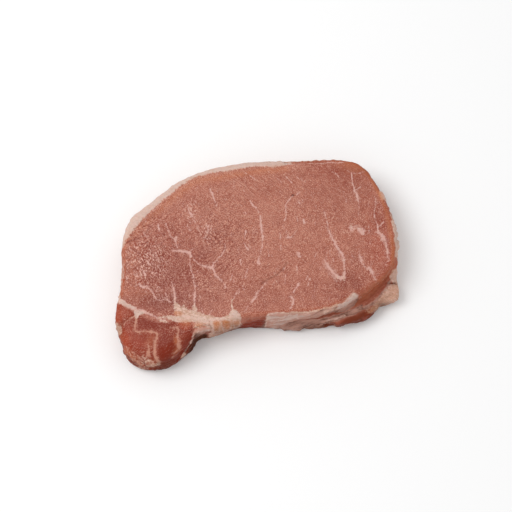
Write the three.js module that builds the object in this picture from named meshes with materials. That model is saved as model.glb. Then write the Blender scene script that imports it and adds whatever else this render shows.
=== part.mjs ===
import * as THREE from "three";

// A boneless pork loin chop lying flat: the wide eye of lean with a thin cap of fat along its back,
// and the small tail of darker lean that hangs on it across a seam of fat. It is one piece of meat, so
// it is one closed solid. Lengths are millimetres and +Z is up. Seen from above, +X runs along the
// chop to the right and +Y across it to the fat cap, with the tail at the lower left. The origin is
// the middle of the underside.

// Driving dimensions of the whole chop.
const THICKNESS = 18.6; // from the board to the highest part of the cut face
const EYE_MIDDLE = new THREE.Vector2(2, 9);
const EYE_HALF_LENGTH = 60;
const EYE_HALF_WIDTH = 36;
const EYE_DOME = 1.1; // how much lower the cut face lies at the edge of the eye than in its middle
const FOOT_ROUND = 1.5; // rounding of the lower edge
const WAVE_HEIGHT = 0.28; // slow unevenness of the cut face
const WALL_WAVE = 0.35; // unevenness of the side

// The seam of fat between the eye and the tail, from the left edge to the front edge.
const SEAM = [[-58.5, -17], [-45, -25.5], [-37, -28], [-22, -28], [-9, -28.6]];
const SEAM_DEPTH = 0.5;
const SEAM_HALF_WIDTH = 2.0;
const TAIL_DROP = 2.4; // how much lower the toe of the tail lies than the seam
const TAIL_REACH = 17; // from the seam to where the tail is at its lowest
const TAIL_END_X = -26; // the drop fades out towards the front wall of the eye
const TAIL_FADE = 9;

// The muscle of the tail is folded in two, with a shallow crease where its parts meet.
const CREASE = [[-50.5, -25], [-52, -33], [-43, -33.5], [-42.5, -43]];
const CREASE_DEPTH = 0.35;
const CREASE_HALF_WIDTH = 1.0;

// The side wall, from the foot at 0 to the cut face at 1. Where the front right of the chop has two
// layers, the lower one stands out as a lip, with a groove above it.
const LIP_TOP = 0.6;
const LIP_SOFT = 0.24;
const GROOVE_AT = 0.66;
const GROOVE_SPREAD = 0.13;
const GROOVE_DEPTH = 0.9;
const GROOVE_FROM_LIP = 2.0; // the groove has its full depth where the lip reaches this far out

// Faces along and across the cut face, and rings down the side.
const FACES_ALONG = 54;
const FACES_ACROSS = 30;
const TOP_ARC_RINGS = 4;
const WALL_RINGS = 9;
const FOOT_ARC_RINGS = 3;

// The outline, counter-clockwise from the toe of the tail. at is a point of the side wall in plan,
// soft the rounding of the upper edge there, bulge how far the wall swells at half height, foot how
// far its lower edge stands out, and lip how far the lower layer stands out.
const STATIONS = [
  { name: "toe", at: [-48.6, -44.9], soft: 4.6, bulge: 0.4, foot: 0.2, lip: 0, corner: true },
  { name: "tail front", at: [-38.0, -44.2], soft: 5.2, bulge: 0.6, foot: 0.3, lip: 0 },
  { name: "tail right", at: [-29.9, -38.0], soft: 4.0, bulge: 0.4, foot: 0.2, lip: 0 },
  { name: "notch", at: [-24.0, -32.9], soft: 2.2, bulge: -0.8, foot: -1.4, lip: 0 },
  { name: "fat lump", at: [-17.0, -31.2], soft: 2.4, bulge: 0.8, foot: -0.8, lip: 0 },
  { name: "front left", at: [-6.5, -27.4], soft: 1.8, bulge: 0.2, foot: -0.4, lip: 0 },
  { name: "front middle", at: [11.0, -25.9], soft: 2.2, bulge: 0.5, foot: 1.0, lip: 0 },
  { name: "front right", at: [30.0, -23.9], soft: 2.6, bulge: 0.4, foot: 1.0, lip: 2.0 },
  { name: "front corner", at: [44.6, -16.0], soft: 2.2, bulge: 0.2, foot: 1.2, lip: 4.4 },
  { name: "flap of fat", at: [54.0, -8.6], soft: 2.0, bulge: 0.2, foot: 0.4, lip: 8.0, corner: true },
  { name: "small lump", at: [57.4, -3.4], soft: 1.8, bulge: 0.6, foot: 0.4, lip: 1.8 },
  { name: "right side", at: [58.7, 5.0], soft: 2.0, bulge: 1.0, foot: 0.6, lip: 0 },
  { name: "right shoulder", at: [57.4, 18.6], soft: 2.0, bulge: 1.2, foot: 0.8, lip: 0 },
  { name: "right bevel", at: [51.3, 33.7], soft: 2.0, bulge: 0.5, foot: 0.4, lip: 0 },
  { name: "far corner", at: [44.0, 42.7], soft: 2.2, bulge: 0.2, foot: 0.2, lip: 0, corner: true },
  { name: "far edge", at: [31.0, 45.3], soft: 2.0, bulge: 0.2, foot: 0.2, lip: 0 },
  { name: "far middle", at: [4.0, 43.8], soft: 2.2, bulge: 0.3, foot: 0.2, lip: 0 },
  { name: "end of the cap", at: [-17.0, 41.5], soft: 2.4, bulge: 0.4, foot: 0.2, lip: 0 },
  { name: "thin cap", at: [-34.0, 34.6], soft: 2.6, bulge: 0.5, foot: 0.2, lip: 0 },
  { name: "thick cap", at: [-47.2, 23.9], soft: 3.8, bulge: 0.4, foot: 0.2, lip: 0 },
  { name: "cap shoulder", at: [-54.7, 17.2], soft: 4.4, bulge: 0.3, foot: 0.2, lip: 0, corner: true },
  { name: "left side", at: [-57.8, 3.5], soft: 2.4, bulge: 0.4, foot: 0.3, lip: 0 },
  { name: "end of the seam", at: [-57.4, -13.0], soft: 2.0, bulge: 0.5, foot: 0.3, lip: 0 },
  { name: "tail left", at: [-59.1, -26.0], soft: 2.4, bulge: 0.4, foot: 0.3, lip: 0 },
  { name: "tail lower left", at: [-55.9, -38.2], soft: 3.4, bulge: 0.4, foot: 0.3, lip: 0 },
];
const CORNERS = STATIONS.map((s, i) => (s.corner ? i : -1)).filter((i) => i >= 0);
const SAMPLES_PER_STATION = 80;

const LEAN_COLOUR = 0xbd7464;
const LEAN_ROUGHNESS = 0.5;

const smooth = THREE.MathUtils.smoothstep;
const bell = (distance, spread) => Math.exp(-((distance / spread) ** 2));

// The outline as one closed curve through the stations.
const outline = new THREE.CatmullRomCurve3(
  STATIONS.map(({ at }) => new THREE.Vector3(at[0], at[1], 0)),
  true,
  "catmullrom",
);
outline.arcLengthDivisions = SAMPLES_PER_STATION * STATIONS.length;

// The share of the outline's length at which station i lies.
function shareAt(i) {
  const lengths = outline.getLengths();
  return lengths[i * SAMPLES_PER_STATION] / lengths[lengths.length - 1];
}

// Shortest distance in plan from (x, y) to a line through points.
function distanceTo(points, x, y) {
  const here = new THREE.Vector3(x, y, 0);
  const near = new THREE.Vector3();
  const pieces = points.slice(1).map((end, i) => {
    const start = points[i];
    const piece = new THREE.Line3(new THREE.Vector3(...start, 0), new THREE.Vector3(...end, 0));
    return piece.closestPointToPoint(here, true, near).distanceTo(here);
  });
  return Math.min(...pieces);
}

// Height of the seam's line at x, in plan: how far towards +Y it runs there.
function seamY(x) {
  const after = SEAM.findIndex(([seamX]) => seamX > x);
  if (after === 0) return SEAM[0][1];
  if (after < 0) return SEAM[SEAM.length - 1][1];
  const [x0, y0] = SEAM[after - 1];
  const [x1, y1] = SEAM[after];
  return THREE.MathUtils.mapLinear(x, x0, x1, y0, y1);
}

// Height of the cut face over the plan: a low dome, less the drop of the tail, the seam and the
// crease, plus slow waves.
function faceHeight(x, y) {
  const along = (x - EYE_MIDDLE.x) / EYE_HALF_LENGTH;
  const across = (y - EYE_MIDDLE.y) / EYE_HALF_WIDTH;
  const dome = EYE_DOME * Math.min(along ** 2 + across ** 2, 1.6);
  const pastSeam = smooth(seamY(x) - y, 0, TAIL_REACH);
  const inTail = pastSeam * (1 - smooth(x, TAIL_END_X, TAIL_END_X + TAIL_FADE));
  const seam = SEAM_DEPTH * bell(distanceTo(SEAM, x, y), SEAM_HALF_WIDTH);
  const crease = CREASE_DEPTH * bell(distanceTo(CREASE, x, y), CREASE_HALF_WIDTH);
  const drift = 1.6 * Math.sin(y / 13 + 0.7);
  const swell = Math.sin(x / 8.7 + drift) * Math.cos(y / 9.9 - 0.4);
  const wave = swell + 0.5 * Math.sin((x - 1.7 * y) / 6.3 + drift);
  return THICKNESS - dome - TAIL_DROP * inTail - seam - crease + WAVE_HEIGHT * wave;
}

// The wall's place at a share of the outline: its plan point, the direction out of the meat, and the
// station values there, blended smoothly from one station to the next.
function wallAt(share) {
  const t = outline.getUtoTmapping(share % 1);
  const point = outline.getPoint(t);
  const tangent = outline.getTangent(t);
  const i = Math.floor(t * STATIONS.length) % STATIONS.length;
  const next = STATIONS[(i + 1) % STATIONS.length];
  const blend = smooth(t * STATIONS.length - i, 0, 1);
  const value = (key) => THREE.MathUtils.lerp(STATIONS[i][key], next[key], blend);
  return {
    point: new THREE.Vector2(point.x, point.y),
    out: new THREE.Vector2(tangent.y, -tangent.x).normalize(),
    soft: value("soft"),
    bulge: value("bulge"),
    foot: value("foot"),
    lip: value("lip"),
  };
}

// Where the cut face ends and the rounding of the upper edge begins.
function faceEdge(wall) {
  return wall.point.clone().addScaledVector(wall.out, -wall.soft);
}

// The side at one place, from just below the cut face to the underside: how far out of the wall's
// plan point each ring lies, and its height. A quarter circle rounds the upper edge and another one
// the foot. Between them the wall swells by a sine squared and leans out by a smooth step.
function sideProfile(wall, top, phase) {
  const rings = [];
  for (let k = 1; k <= TOP_ARC_RINGS; k += 1) {
    const turn = ((Math.PI / 2) * k) / TOP_ARC_RINGS;
    rings.push([wall.soft * (Math.sin(turn) - 1), top - wall.soft * (1 - Math.cos(turn))]);
  }
  const wallTop = top - wall.soft;
  for (let k = 1; k <= WALL_RINGS; k += 1) {
    const up = 1 - k / WALL_RINGS;
    const swell = wall.bulge * Math.sin(Math.PI * up) ** 2;
    const lean = wall.foot * smooth(1 - up, 0, 1);
    const lip = wall.lip * (1 - smooth(up, LIP_TOP - LIP_SOFT, LIP_TOP));
    const layered = smooth(wall.lip, 0, GROOVE_FROM_LIP);
    const groove = GROOVE_DEPTH * layered * bell(up - GROOVE_AT, GROOVE_SPREAD);
    const wave = WALL_WAVE * Math.sin(Math.PI * up) * Math.sin(phase + 4 * up);
    const height = FOOT_ROUND + (wallTop - FOOT_ROUND) * up;
    rings.push([swell + lean + lip - groove + wave, height]);
  }
  const footOut = wall.foot + wall.lip;
  for (let k = 1; k <= FOOT_ARC_RINGS; k += 1) {
    const turn = ((Math.PI / 2) * k) / FOOT_ARC_RINGS;
    const height = k === FOOT_ARC_RINGS ? 0 : FOOT_ROUND * (1 - Math.sin(turn));
    rings.push([footOut - FOOT_ROUND * (1 - Math.cos(turn)), height]);
  }
  return rings;
}

// Shares of the outline for one side of the cut face, evenly from corner to corner.
function sideShares(corner, faces) {
  const start = shareAt(CORNERS[corner]);
  const next = shareAt(CORNERS[(corner + 1) % CORNERS.length]);
  const end = next > start ? next : next + 1;
  return Array.from({ length: faces }, (_, i) => start + ((end - start) * i) / faces);
}

// The chop as one closed mesh. The cut face is a grid stretched between the four sides of its edge by
// blending opposite sides, less the blend of the corners, so no point of it is a pole. Rings carry
// that edge down the side, and the underside is one flat face.
function chopGeometry() {
  const counts = [FACES_ALONG, FACES_ACROSS, FACES_ALONG, FACES_ACROSS];
  const walls = counts.flatMap((faces, corner) => sideShares(corner, faces)).map(wallAt);
  const around = walls.length;
  const edge = walls.map(faceEdge);
  const front = (i) => edge[i];
  const right = (j) => edge[(FACES_ALONG + j) % around];
  const back = (i) => edge[(2 * FACES_ALONG + FACES_ACROSS - i) % around];
  const left = (j) => edge[(around - j) % around];
  const positions = [];
  for (let j = 0; j <= FACES_ACROSS; j += 1) {
    for (let i = 0; i <= FACES_ALONG; i += 1) {
      const u = i / FACES_ALONG;
      const v = j / FACES_ACROSS;
      const plan = new THREE.Vector2();
      plan.addScaledVector(front(i), 1 - v).addScaledVector(back(i), v);
      plan.addScaledVector(left(j), 1 - u).addScaledVector(right(j), u);
      plan.addScaledVector(front(0), -(1 - u) * (1 - v)).addScaledVector(right(0), -u * (1 - v));
      plan.addScaledVector(left(FACES_ACROSS), -(1 - u) * v).addScaledVector(back(FACES_ALONG), -u * v);
      positions.push([plan.x, plan.y, faceHeight(plan.x, plan.y)]);
    }
  }

  // The grid's own vertices along its edge, in the order of the walls.
  const row = FACES_ALONG + 1;
  const gridAt = (i, j) => j * row + i;
  const rings = [[]];
  for (let m = 0; m < around; m += 1) {
    const n = m - FACES_ALONG;
    const p = n - FACES_ACROSS;
    const q = p - FACES_ALONG;
    if (n < 0) rings[0].push(gridAt(m, 0));
    else if (p < 0) rings[0].push(gridAt(FACES_ALONG, n));
    else if (q < 0) rings[0].push(gridAt(FACES_ALONG - p, FACES_ACROSS));
    else rings[0].push(gridAt(0, FACES_ACROSS - q));
  }

  const profiles = walls.map((wall, m) => {
    const phase = (2 * Math.PI * m * 17) / around;
    return sideProfile(wall, faceHeight(edge[m].x, edge[m].y), phase);
  });
  profiles[0].forEach((_, k) => {
    rings.push(walls.map((wall, m) => {
      const [out, height] = profiles[m][k];
      const plan = wall.point.clone().addScaledVector(wall.out, out);
      positions.push([plan.x, plan.y, height]);
      return positions.length - 1;
    }));
  });

  const triangles = [];
  const quad = (a, b, c, d) => triangles.push(a, b, c, a, c, d);
  for (let j = 0; j < FACES_ACROSS; j += 1) {
    for (let i = 0; i < FACES_ALONG; i += 1) {
      quad(gridAt(i, j), gridAt(i + 1, j), gridAt(i + 1, j + 1), gridAt(i, j + 1));
    }
  }
  for (let k = 1; k < rings.length; k += 1) {
    for (let m = 0; m < around; m += 1) {
      const n = (m + 1) % around;
      quad(rings[k - 1][m], rings[k][m], rings[k][n], rings[k - 1][n]);
    }
  }
  const foot = rings[rings.length - 1];
  const footPlan = foot.map((index) => new THREE.Vector2(positions[index][0], positions[index][1]));
  THREE.ShapeUtils.triangulateShape(footPlan, []).forEach(([a, b, c]) => {
    triangles.push(foot[a], foot[c], foot[b]);
  });

  const geometry = new THREE.BufferGeometry();
  geometry.setAttribute("position", new THREE.Float32BufferAttribute(positions.flat(), 3));
  geometry.setIndex(triangles);
  geometry.computeBoundingBox();
  const middle = geometry.boundingBox.getCenter(new THREE.Vector3());
  geometry.translate(-middle.x, -middle.y, 0);
  geometry.computeVertexNormals();
  return geometry;
}

const lean = new THREE.MeshStandardMaterial({
  color: LEAN_COLOUR,
  roughness: LEAN_ROUGHNESS,
  metalness: 0,
});
const chop = new THREE.Mesh(chopGeometry(), lean);
chop.name = "chop";

const loinChop = new THREE.Group();
loinChop.add(chop);

export default loinChop;
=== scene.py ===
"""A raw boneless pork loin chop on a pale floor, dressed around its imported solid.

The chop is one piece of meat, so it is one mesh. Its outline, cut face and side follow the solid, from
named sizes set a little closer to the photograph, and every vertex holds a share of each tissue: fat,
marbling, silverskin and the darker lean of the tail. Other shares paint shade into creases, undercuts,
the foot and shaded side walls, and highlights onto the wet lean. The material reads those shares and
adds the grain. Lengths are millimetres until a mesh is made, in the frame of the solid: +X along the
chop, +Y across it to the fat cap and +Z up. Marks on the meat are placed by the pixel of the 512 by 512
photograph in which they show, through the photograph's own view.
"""

import logging
import math
from dataclasses import dataclass, field, replace
from enum import Enum
from typing import Any

import bpy
import numpy as np
from mathutils import Matrix, Vector
from numpy.typing import NDArray


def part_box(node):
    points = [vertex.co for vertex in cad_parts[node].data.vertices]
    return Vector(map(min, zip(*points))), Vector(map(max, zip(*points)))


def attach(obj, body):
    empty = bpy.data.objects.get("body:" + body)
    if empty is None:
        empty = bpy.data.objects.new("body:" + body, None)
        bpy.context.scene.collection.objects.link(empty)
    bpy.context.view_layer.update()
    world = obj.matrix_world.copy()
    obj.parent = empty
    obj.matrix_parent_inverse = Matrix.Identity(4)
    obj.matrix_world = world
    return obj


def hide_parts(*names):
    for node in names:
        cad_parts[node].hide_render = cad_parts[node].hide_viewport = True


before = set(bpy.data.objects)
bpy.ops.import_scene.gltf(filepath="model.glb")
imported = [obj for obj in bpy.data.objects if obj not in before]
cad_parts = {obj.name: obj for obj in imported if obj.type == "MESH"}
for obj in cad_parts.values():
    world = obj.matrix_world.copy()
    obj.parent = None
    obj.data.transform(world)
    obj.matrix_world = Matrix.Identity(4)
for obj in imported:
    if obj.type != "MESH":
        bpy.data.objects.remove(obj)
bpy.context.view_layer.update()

Field = NDArray[np.float64]
Indices = NDArray[np.int64]
Pair = tuple[float, float]
Triple = tuple[float, float, float]
Colour = Triple
Socket = bpy.types.NodeSocket

METRES = 0.001  # metres in a millimetre
NODE = "chop"
BODY = "root"

log = logging.getLogger("chop")


def smooth(value: Field, low: Field | float, high: Field | float) -> Field:
    """A smooth step: 0 up to low, 1 from high, and three t squared less two t cubed between them."""
    t = np.clip((value - low) / (np.asarray(high) - low), 0.0, 1.0)
    return t * t * (3.0 - 2.0 * t)


def bell(distance: Field, spread: float) -> Field:
    """A bell curve: e to the minus square of distance over spread."""
    return np.exp(-((distance / spread) ** 2))


def linear(colour: Colour) -> tuple[float, float, float, float]:
    """The linear colour, with alpha 1, of an sRGB colour given as three numbers from 0 to 255."""
    share = np.asarray(colour) / 255.0
    value = np.where(share <= 0.04045, share / 12.92, ((share + 0.055) / 1.055) ** 2.4)
    return (float(value[0]), float(value[1]), float(value[2]), 1.0)


def spline(before: Field, start: Field, end: Field, after: Field, u: Field) -> tuple[Field, Field]:
    """Point and direction at u, from 0 at start to 1 at end: the cubic through four neighbours, whose
    direction at start is half the step from before to end, and at end half that from start to after.
    """
    pull = 0.5 * (end - before)
    push = 0.5 * (after - start)
    cubic = 2 * start - 2 * end + pull + push
    square = -3 * start + 3 * end - 2 * pull - push
    return ((cubic * u + square) * u + pull) * u + start, (3 * cubic * u + 2 * square) * u + pull


@dataclass(frozen=True)
class Lumps:
    """Random smooth lumps: random values on a cubic lattice, blended by a quintic step.

    size is that of the largest lumps in millimetres. Each octave has lumps half as large and half as
    high as the one before, and their sum is brought back to about height up and down.
    """

    seed: int
    height: float
    size: float
    octaves: int = 2
    period: int = 48  # lattice steps after which they repeat
    shift: float = 7.3  # lattice steps from octave to octave, so that the lattices don't line up

    def at(self, places: Field) -> Field:
        """Their height at each place."""
        values = np.random.default_rng(self.seed).uniform(-1.0, 1.0, (self.period,) * 3)
        total = np.zeros(len(places))
        reach = 0.0
        for octave in range(self.octaves):
            weight = 0.5**octave
            total += weight * self._blend(values, places * 2.0**octave / self.size + self.shift * octave)
            reach += weight
        return self.height * (total / reach)

    def _blend(self, values: Field, steps: Field) -> Field:
        """The blend of the eight values round each place, which is given in lattice steps."""
        cell = np.floor(steps).astype(int)
        t = steps - cell
        t = t * t * t * (t * (6.0 * t - 15.0) + 10.0)
        total = np.zeros(len(steps))
        for corner in np.ndindex(2, 2, 2):
            step = np.asarray(corner)
            weight = np.prod(np.where(step == 1, t, 1.0 - t), axis=1)
            i, j, k = ((cell + step) % self.period).T
            total += weight * values[i, j, k]
        return total


@dataclass(frozen=True)
class PhotoView:
    """The photograph's view of the chop: where its camera stands and what falls on which pixel."""

    elevation: float = math.radians(70.0)
    lens: float = 100.0
    sensor: float = 36.0
    picture: int = 512
    pixel: float = 0.4225  # millimetres of the chop under one pixel, at the aim
    aim: Triple = (-1.15, 0.0, 18.0)

    @property
    def focal(self) -> float:
        """Focal length in pixels."""
        return self.lens / self.sensor * self.picture

    @property
    def back(self) -> Field:
        """Unit vector from the aim back to the camera."""
        return np.array([0.0, -math.cos(self.elevation), math.sin(self.elevation)])

    @property
    def eye(self) -> Field:
        """Place of the camera."""
        return np.asarray(self.aim) + self.focal * self.pixel * self.back

    def project(self, places: Field) -> Field:
        """Pixel on which each place falls: its offset across and up over its depth, times the focal
        length, from the middle of the picture.
        """
        right = np.array([1.0, 0.0, 0.0])
        up = np.cross(self.back, right)
        offset = places - self.eye
        depth = -(offset @ self.back)
        centre = self.picture / 2.0
        across = centre + self.focal * (offset @ right) / depth
        down = centre - self.focal * (offset @ up) / depth
        return np.stack([across, down], axis=1)


@dataclass(frozen=True)
class Station:
    """One place on the outline of the chop, in plan, and what its side is like there.

    at is a point of the side wall, soft the rounding of the upper edge, bulge how far the wall swells
    at half height, foot how far its lower edge stands out and lip how far the lower layer stands out.
    fat and silver are the shares of fat and silverskin on the side. A corner is one of the four at
    which the grid of the cut face turns.
    """

    name: str
    at: Pair
    soft: float
    bulge: float = 0.4
    foot: float = 0.2
    lip: float = 0.0
    fat: float = 0.0
    silver: float = 0.0
    corner: bool = False


STATIONS: tuple[Station, ...] = (
    Station("toe", (-49.8, -44.4), 4.6, fat=0.45, silver=0.2, corner=True),
    Station("tail front", (-38.0, -44.3), 5.2, bulge=0.6, foot=0.3, fat=0.25, silver=0.3),
    Station("tail right", (-29.9, -38.0), 4.0, bulge=0.3, foot=0.7, fat=0.1, silver=0.1),
    Station("notch", (-24.0, -33.1), 2.2, bulge=-0.5, foot=-1.0, fat=0.1, silver=0.1),
    Station("fat lump", (-17.0, -31.2), 2.4, bulge=0.8, foot=-0.8, fat=0.85, silver=0.3),
    Station("front left", (-6.5, -27.4), 1.8, bulge=0.2, foot=-0.4, fat=0.3, silver=0.1),
    Station("front middle", (11.0, -25.9), 2.2, bulge=0.5, foot=1.0, fat=0.1, silver=0.9),
    Station("front right", (28.6, -24.2), 2.6, foot=0.4, lip=1.9, fat=0.1, silver=0.25),
    Station("front corner", (42.9, -17.1), 2.2, bulge=0.2, foot=1.2, lip=6.1, fat=0.1, silver=0.2),
    Station("before the flap", (48.6, -13.1), 2.0, bulge=0.2, foot=0.6, lip=5.3, fat=0.6, silver=0.3),
    Station("flap of fat", (54.0, -8.6), 2.0, bulge=0.2, foot=0.4, lip=7.5, fat=0.95, corner=True),
    Station("small lump", (57.3, -3.4), 1.8, bulge=1.3, foot=0.8, lip=0.7, fat=0.9, silver=0.2),
    Station("right side", (58.7, 5.0), 2.0, bulge=1.0, foot=0.6, fat=0.95, silver=0.2),
    Station("right shoulder", (57.6, 18.6), 2.0, bulge=1.2, foot=0.8, fat=0.8, silver=0.2),
    Station("right bevel", (51.4, 33.7), 2.0, bulge=0.5, foot=0.4, fat=0.35, silver=0.5),
    Station("far corner", (44.2, 42.9), 2.2, bulge=0.2, fat=0.3, silver=0.6, corner=True),
    Station("far edge", (33.0, 45.2), 2.0, bulge=0.2, fat=0.4, silver=0.6),
    Station("dip of the far edge", (20.5, 44.3), 2.0, bulge=0.2, fat=0.5, silver=0.5),
    Station("far middle", (2.0, 43.9), 2.2, bulge=0.3, fat=0.85, silver=0.3),
    Station("end of the cap", (-17.0, 41.4), 2.4, fat=1.0),
    Station("thin cap", (-34.0, 34.6), 2.6, bulge=0.5, fat=1.0),
    Station("thick cap", (-47.2, 23.9), 3.8, fat=1.0),
    Station("cap shoulder", (-54.7, 17.2), 4.4, bulge=0.3, fat=1.0, corner=True),
    Station("left side", (-57.4, 3.5), 2.4, bulge=0.2, fat=0.55, silver=0.4),
    Station("end of the seam", (-57.4, -13.0), 2.0, bulge=0.5, foot=0.3, fat=0.6, silver=0.4),
    Station("tail left", (-59.1, -26.0), 2.4, foot=0.3, fat=0.45, silver=0.3),
    Station("tail lower left", (-55.8, -38.4), 3.4, foot=0.3, fat=0.4, silver=0.3),
)


@dataclass(frozen=True)
class Wall:
    """The side wall at some shares of the outline: one row or value for each place."""

    point: Field
    out: Field
    soft: Field
    bulge: Field
    foot: Field
    lip: Field
    fat: Field
    silver: Field


@dataclass(frozen=True)
class Outline:
    """The closed curve of the chop's side, seen from above."""

    stations: tuple[Station, ...] = STATIONS
    samples: int = 80  # steps between two stations, for measuring the length

    def _curve(self, t: Field) -> tuple[Field, Field]:
        """Point and direction at t stations along, on the spline through the stations."""
        knots = np.array([s.at for s in self.stations])
        i = np.floor(t).astype(int)
        four = (knots[(i + step) % len(knots)] for step in (-1, 0, 1, 2))
        return spline(*four, (t - i)[:, None])

    def _lengths(self) -> tuple[Field, Field]:
        """Station number and share of the whole length, at each sample."""
        t = np.linspace(0.0, len(self.stations), self.samples * len(self.stations) + 1)
        point, _ = self._curve(t)
        length = np.concatenate([[0.0], np.cumsum(np.linalg.norm(np.diff(point, axis=0), axis=1))])
        return t, length / length[-1]

    def even_shares(self, along: int, across: int) -> Field:
        """Shares of the outline, evenly from corner to corner.

        Args:
            along: steps on the front and back sides.
            across: steps on the right and left sides.
        """
        _, share = self._lengths()
        corners = np.append(share[[i * self.samples for i, s in enumerate(self.stations) if s.corner]], 1.0)
        counts = (along, across, along, across)
        sides = zip(corners[:-1], corners[1:], counts)
        return np.concatenate([np.linspace(*side, endpoint=False) for side in sides])

    def wall(self, share: Field) -> Wall:
        """The side wall at some shares, its values blended by a smooth step between stations."""
        t_known, share_known = self._lengths()
        t = np.interp(share, share_known, t_known) % len(self.stations)
        point, along = self._curve(t)
        out = np.stack([along[:, 1], -along[:, 0]], axis=1)
        out /= np.linalg.norm(out, axis=1, keepdims=True)
        i = np.floor(t).astype(int)
        blend = smooth(t - i, 0.0, 1.0)

        def value(name: str) -> Field:
            """A station value, blended from each station to the next."""
            known = np.array([getattr(s, name) for s in self.stations])
            return known[i] * (1 - blend) + known[(i + 1) % len(known)] * blend

        names = ("soft", "bulge", "foot", "lip", "fat", "silver")
        return Wall(point, out, *(value(name) for name in names))


@dataclass(frozen=True)
class CutFace:
    """The height of the cut face over the plan."""

    thickness: float = 18.6
    middle: Pair = (2.0, 9.0)
    half_length: float = 60.0
    half_width: float = 36.0
    dome: float = 1.1
    dome_end: float = 1.6  # square of the distance from the middle, in half sizes, where it levels off
    seam: tuple[Pair, ...] = ((-58.5, -17.0), (-45.0, -25.5), (-37.0, -28.0), (-22.0, -28.0), (-9.0, -28.6))
    tail_drop: float = 2.4
    tail_reach: float = 17.0
    tail_end: float = -26.0
    tail_fade: float = 9.0
    wave: float = 0.28
    wave_length: float = 8.7
    wave_width: float = 9.9
    wave_start: float = -0.4
    drift: float = 1.6
    drift_width: float = 13.0
    drift_start: float = 0.7
    ripple: float = 0.5  # share of the wave
    ripple_length: float = 6.3
    ripple_slant: float = 1.7

    def height(self, x: Field, y: Field) -> Field:
        """A low dome, less the drop of the tail past the seam, plus slow waves: a sine along times a
        cosine across, and a slanted sine, both shifted by a drift.
        """
        along = (x - self.middle[0]) / self.half_length
        across = (y - self.middle[1]) / self.half_width
        dome = self.dome * np.minimum(along**2 + across**2, self.dome_end)
        seam = np.asarray(self.seam)
        past_seam = smooth(np.interp(x, seam[:, 0], seam[:, 1]) - y, 0.0, self.tail_reach)
        in_tail = past_seam * (1.0 - smooth(x, self.tail_end, self.tail_end + self.tail_fade))
        drift = self.drift * np.sin(y / self.drift_width + self.drift_start)
        swell = np.sin(x / self.wave_length + drift) * np.cos(y / self.wave_width + self.wave_start)
        ripple = self.ripple * np.sin((x - self.ripple_slant * y) / self.ripple_length + drift)
        return self.thickness - dome - self.tail_drop * in_tail + self.wave * (swell + ripple)


@dataclass(frozen=True)
class Side:
    """The profile of the side, from the rim of the cut face down to the underside."""

    foot_round: float = 1.5
    lip_top: float = 0.6
    lip_soft: float = 0.24
    groove_at: float = 0.66
    groove_spread: float = 0.13
    groove_depth: float = 0.9
    groove_from_lip: float = 2.0
    top_rings: int = 8
    wall_rings: tuple[int, int, int] = (7, 16, 6)  # above, over and below the slope of the lip
    foot_rings: int = 4

    def profile(self, wall: Wall, top: Field) -> tuple[Field, Field]:
        """How far out of the wall's plan point each ring lies, and its height.

        A quarter circle rounds the upper edge and another one the foot. Between them the wall swells
        by a sine squared and leans out by a smooth step, and the lower layer stands out as a lip with
        a groove above it.

        Args:
            wall: the wall at each place round the chop.
            top: height of the rim of the cut face there.

        Returns:
            Two arrays with a row for each ring, the first just below the cut face.
        """
        turn = (np.arange(1, self.top_rings + 1) * np.pi / 2 / self.top_rings)[:, None]
        top_out = wall.soft * (np.sin(turn) - 1.0)
        top_height = top - wall.soft * (1.0 - np.cos(turn))
        counts = np.cumsum((0, *self.wall_rings))
        lip_foot = self.lip_top - self.lip_soft
        up = np.interp(np.arange(1, counts[-1] + 1), counts, (1.0, self.lip_top, lip_foot, 0.0))[:, None]
        swell = wall.bulge * np.sin(np.pi * up) ** 2
        lean = wall.foot * smooth(1.0 - up, 0.0, 1.0)
        lip = wall.lip * (1.0 - smooth(up, lip_foot, self.lip_top))
        layered = self.groove_depth * smooth(wall.lip, 0.0, self.groove_from_lip)
        groove = layered * bell(up - self.groove_at, self.groove_spread)
        wall_out = swell + lean + lip - groove
        wall_height = self.foot_round + (top - wall.soft - self.foot_round) * up
        turn = (np.arange(1, self.foot_rings + 1) * np.pi / 2 / self.foot_rings)[:, None]
        foot_out = wall.foot + wall.lip - self.foot_round * (1.0 - np.cos(turn))
        foot_height = np.maximum(self.foot_round * (1.0 - np.sin(turn)), 0.0) + 0.0 * top
        return np.vstack([top_out, wall_out, foot_out]), np.vstack([top_height, wall_height, foot_height])


class Tissue(Enum):
    """What a mark on the meat is made of, which tone or texture of lean it has, or what shade or
    highlight it paints.
    """

    FAT = "fat"
    VEIN = "vein"
    SILVER = "silver"
    # dark crease lines, and painted shade in creases, undercuts, gaps and at the foot
    CREASE = "crease"
    TAIL = "tail"
    RED = "red"
    # darker lean, and painted shade on shaded walls and at the foot
    DEEP = "deep"
    # paler lean and fat, and painted highlights on walls and in grooves
    PALE = "pale"
    WARM = "warm"
    FIBRE = "fibre"
    STREAK = "streak"
    # painted highlights of the wet lean
    GLINT = "glint"
    RIPPLE = "ripple"
    SIDE = "side"


class Shape(Enum):
    """Relief of a mark, whose strength is then in millimetres."""

    RAISED = "raised"
    SUNK = "sunk"


FAT, VEIN, SILVER, CREASE = Tissue.FAT, Tissue.VEIN, Tissue.SILVER, Tissue.CREASE
TAIL, RED, DEEP, PALE, WARM = Tissue.TAIL, Tissue.RED, Tissue.DEEP, Tissue.PALE, Tissue.WARM
FIBRE, STREAK, GLINT, RIPPLE = Tissue.FIBRE, Tissue.STREAK, Tissue.GLINT, Tissue.RIPPLE
RAISED, SUNK = Shape.RAISED, Shape.SUNK
Kind = Tissue | Shape


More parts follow.
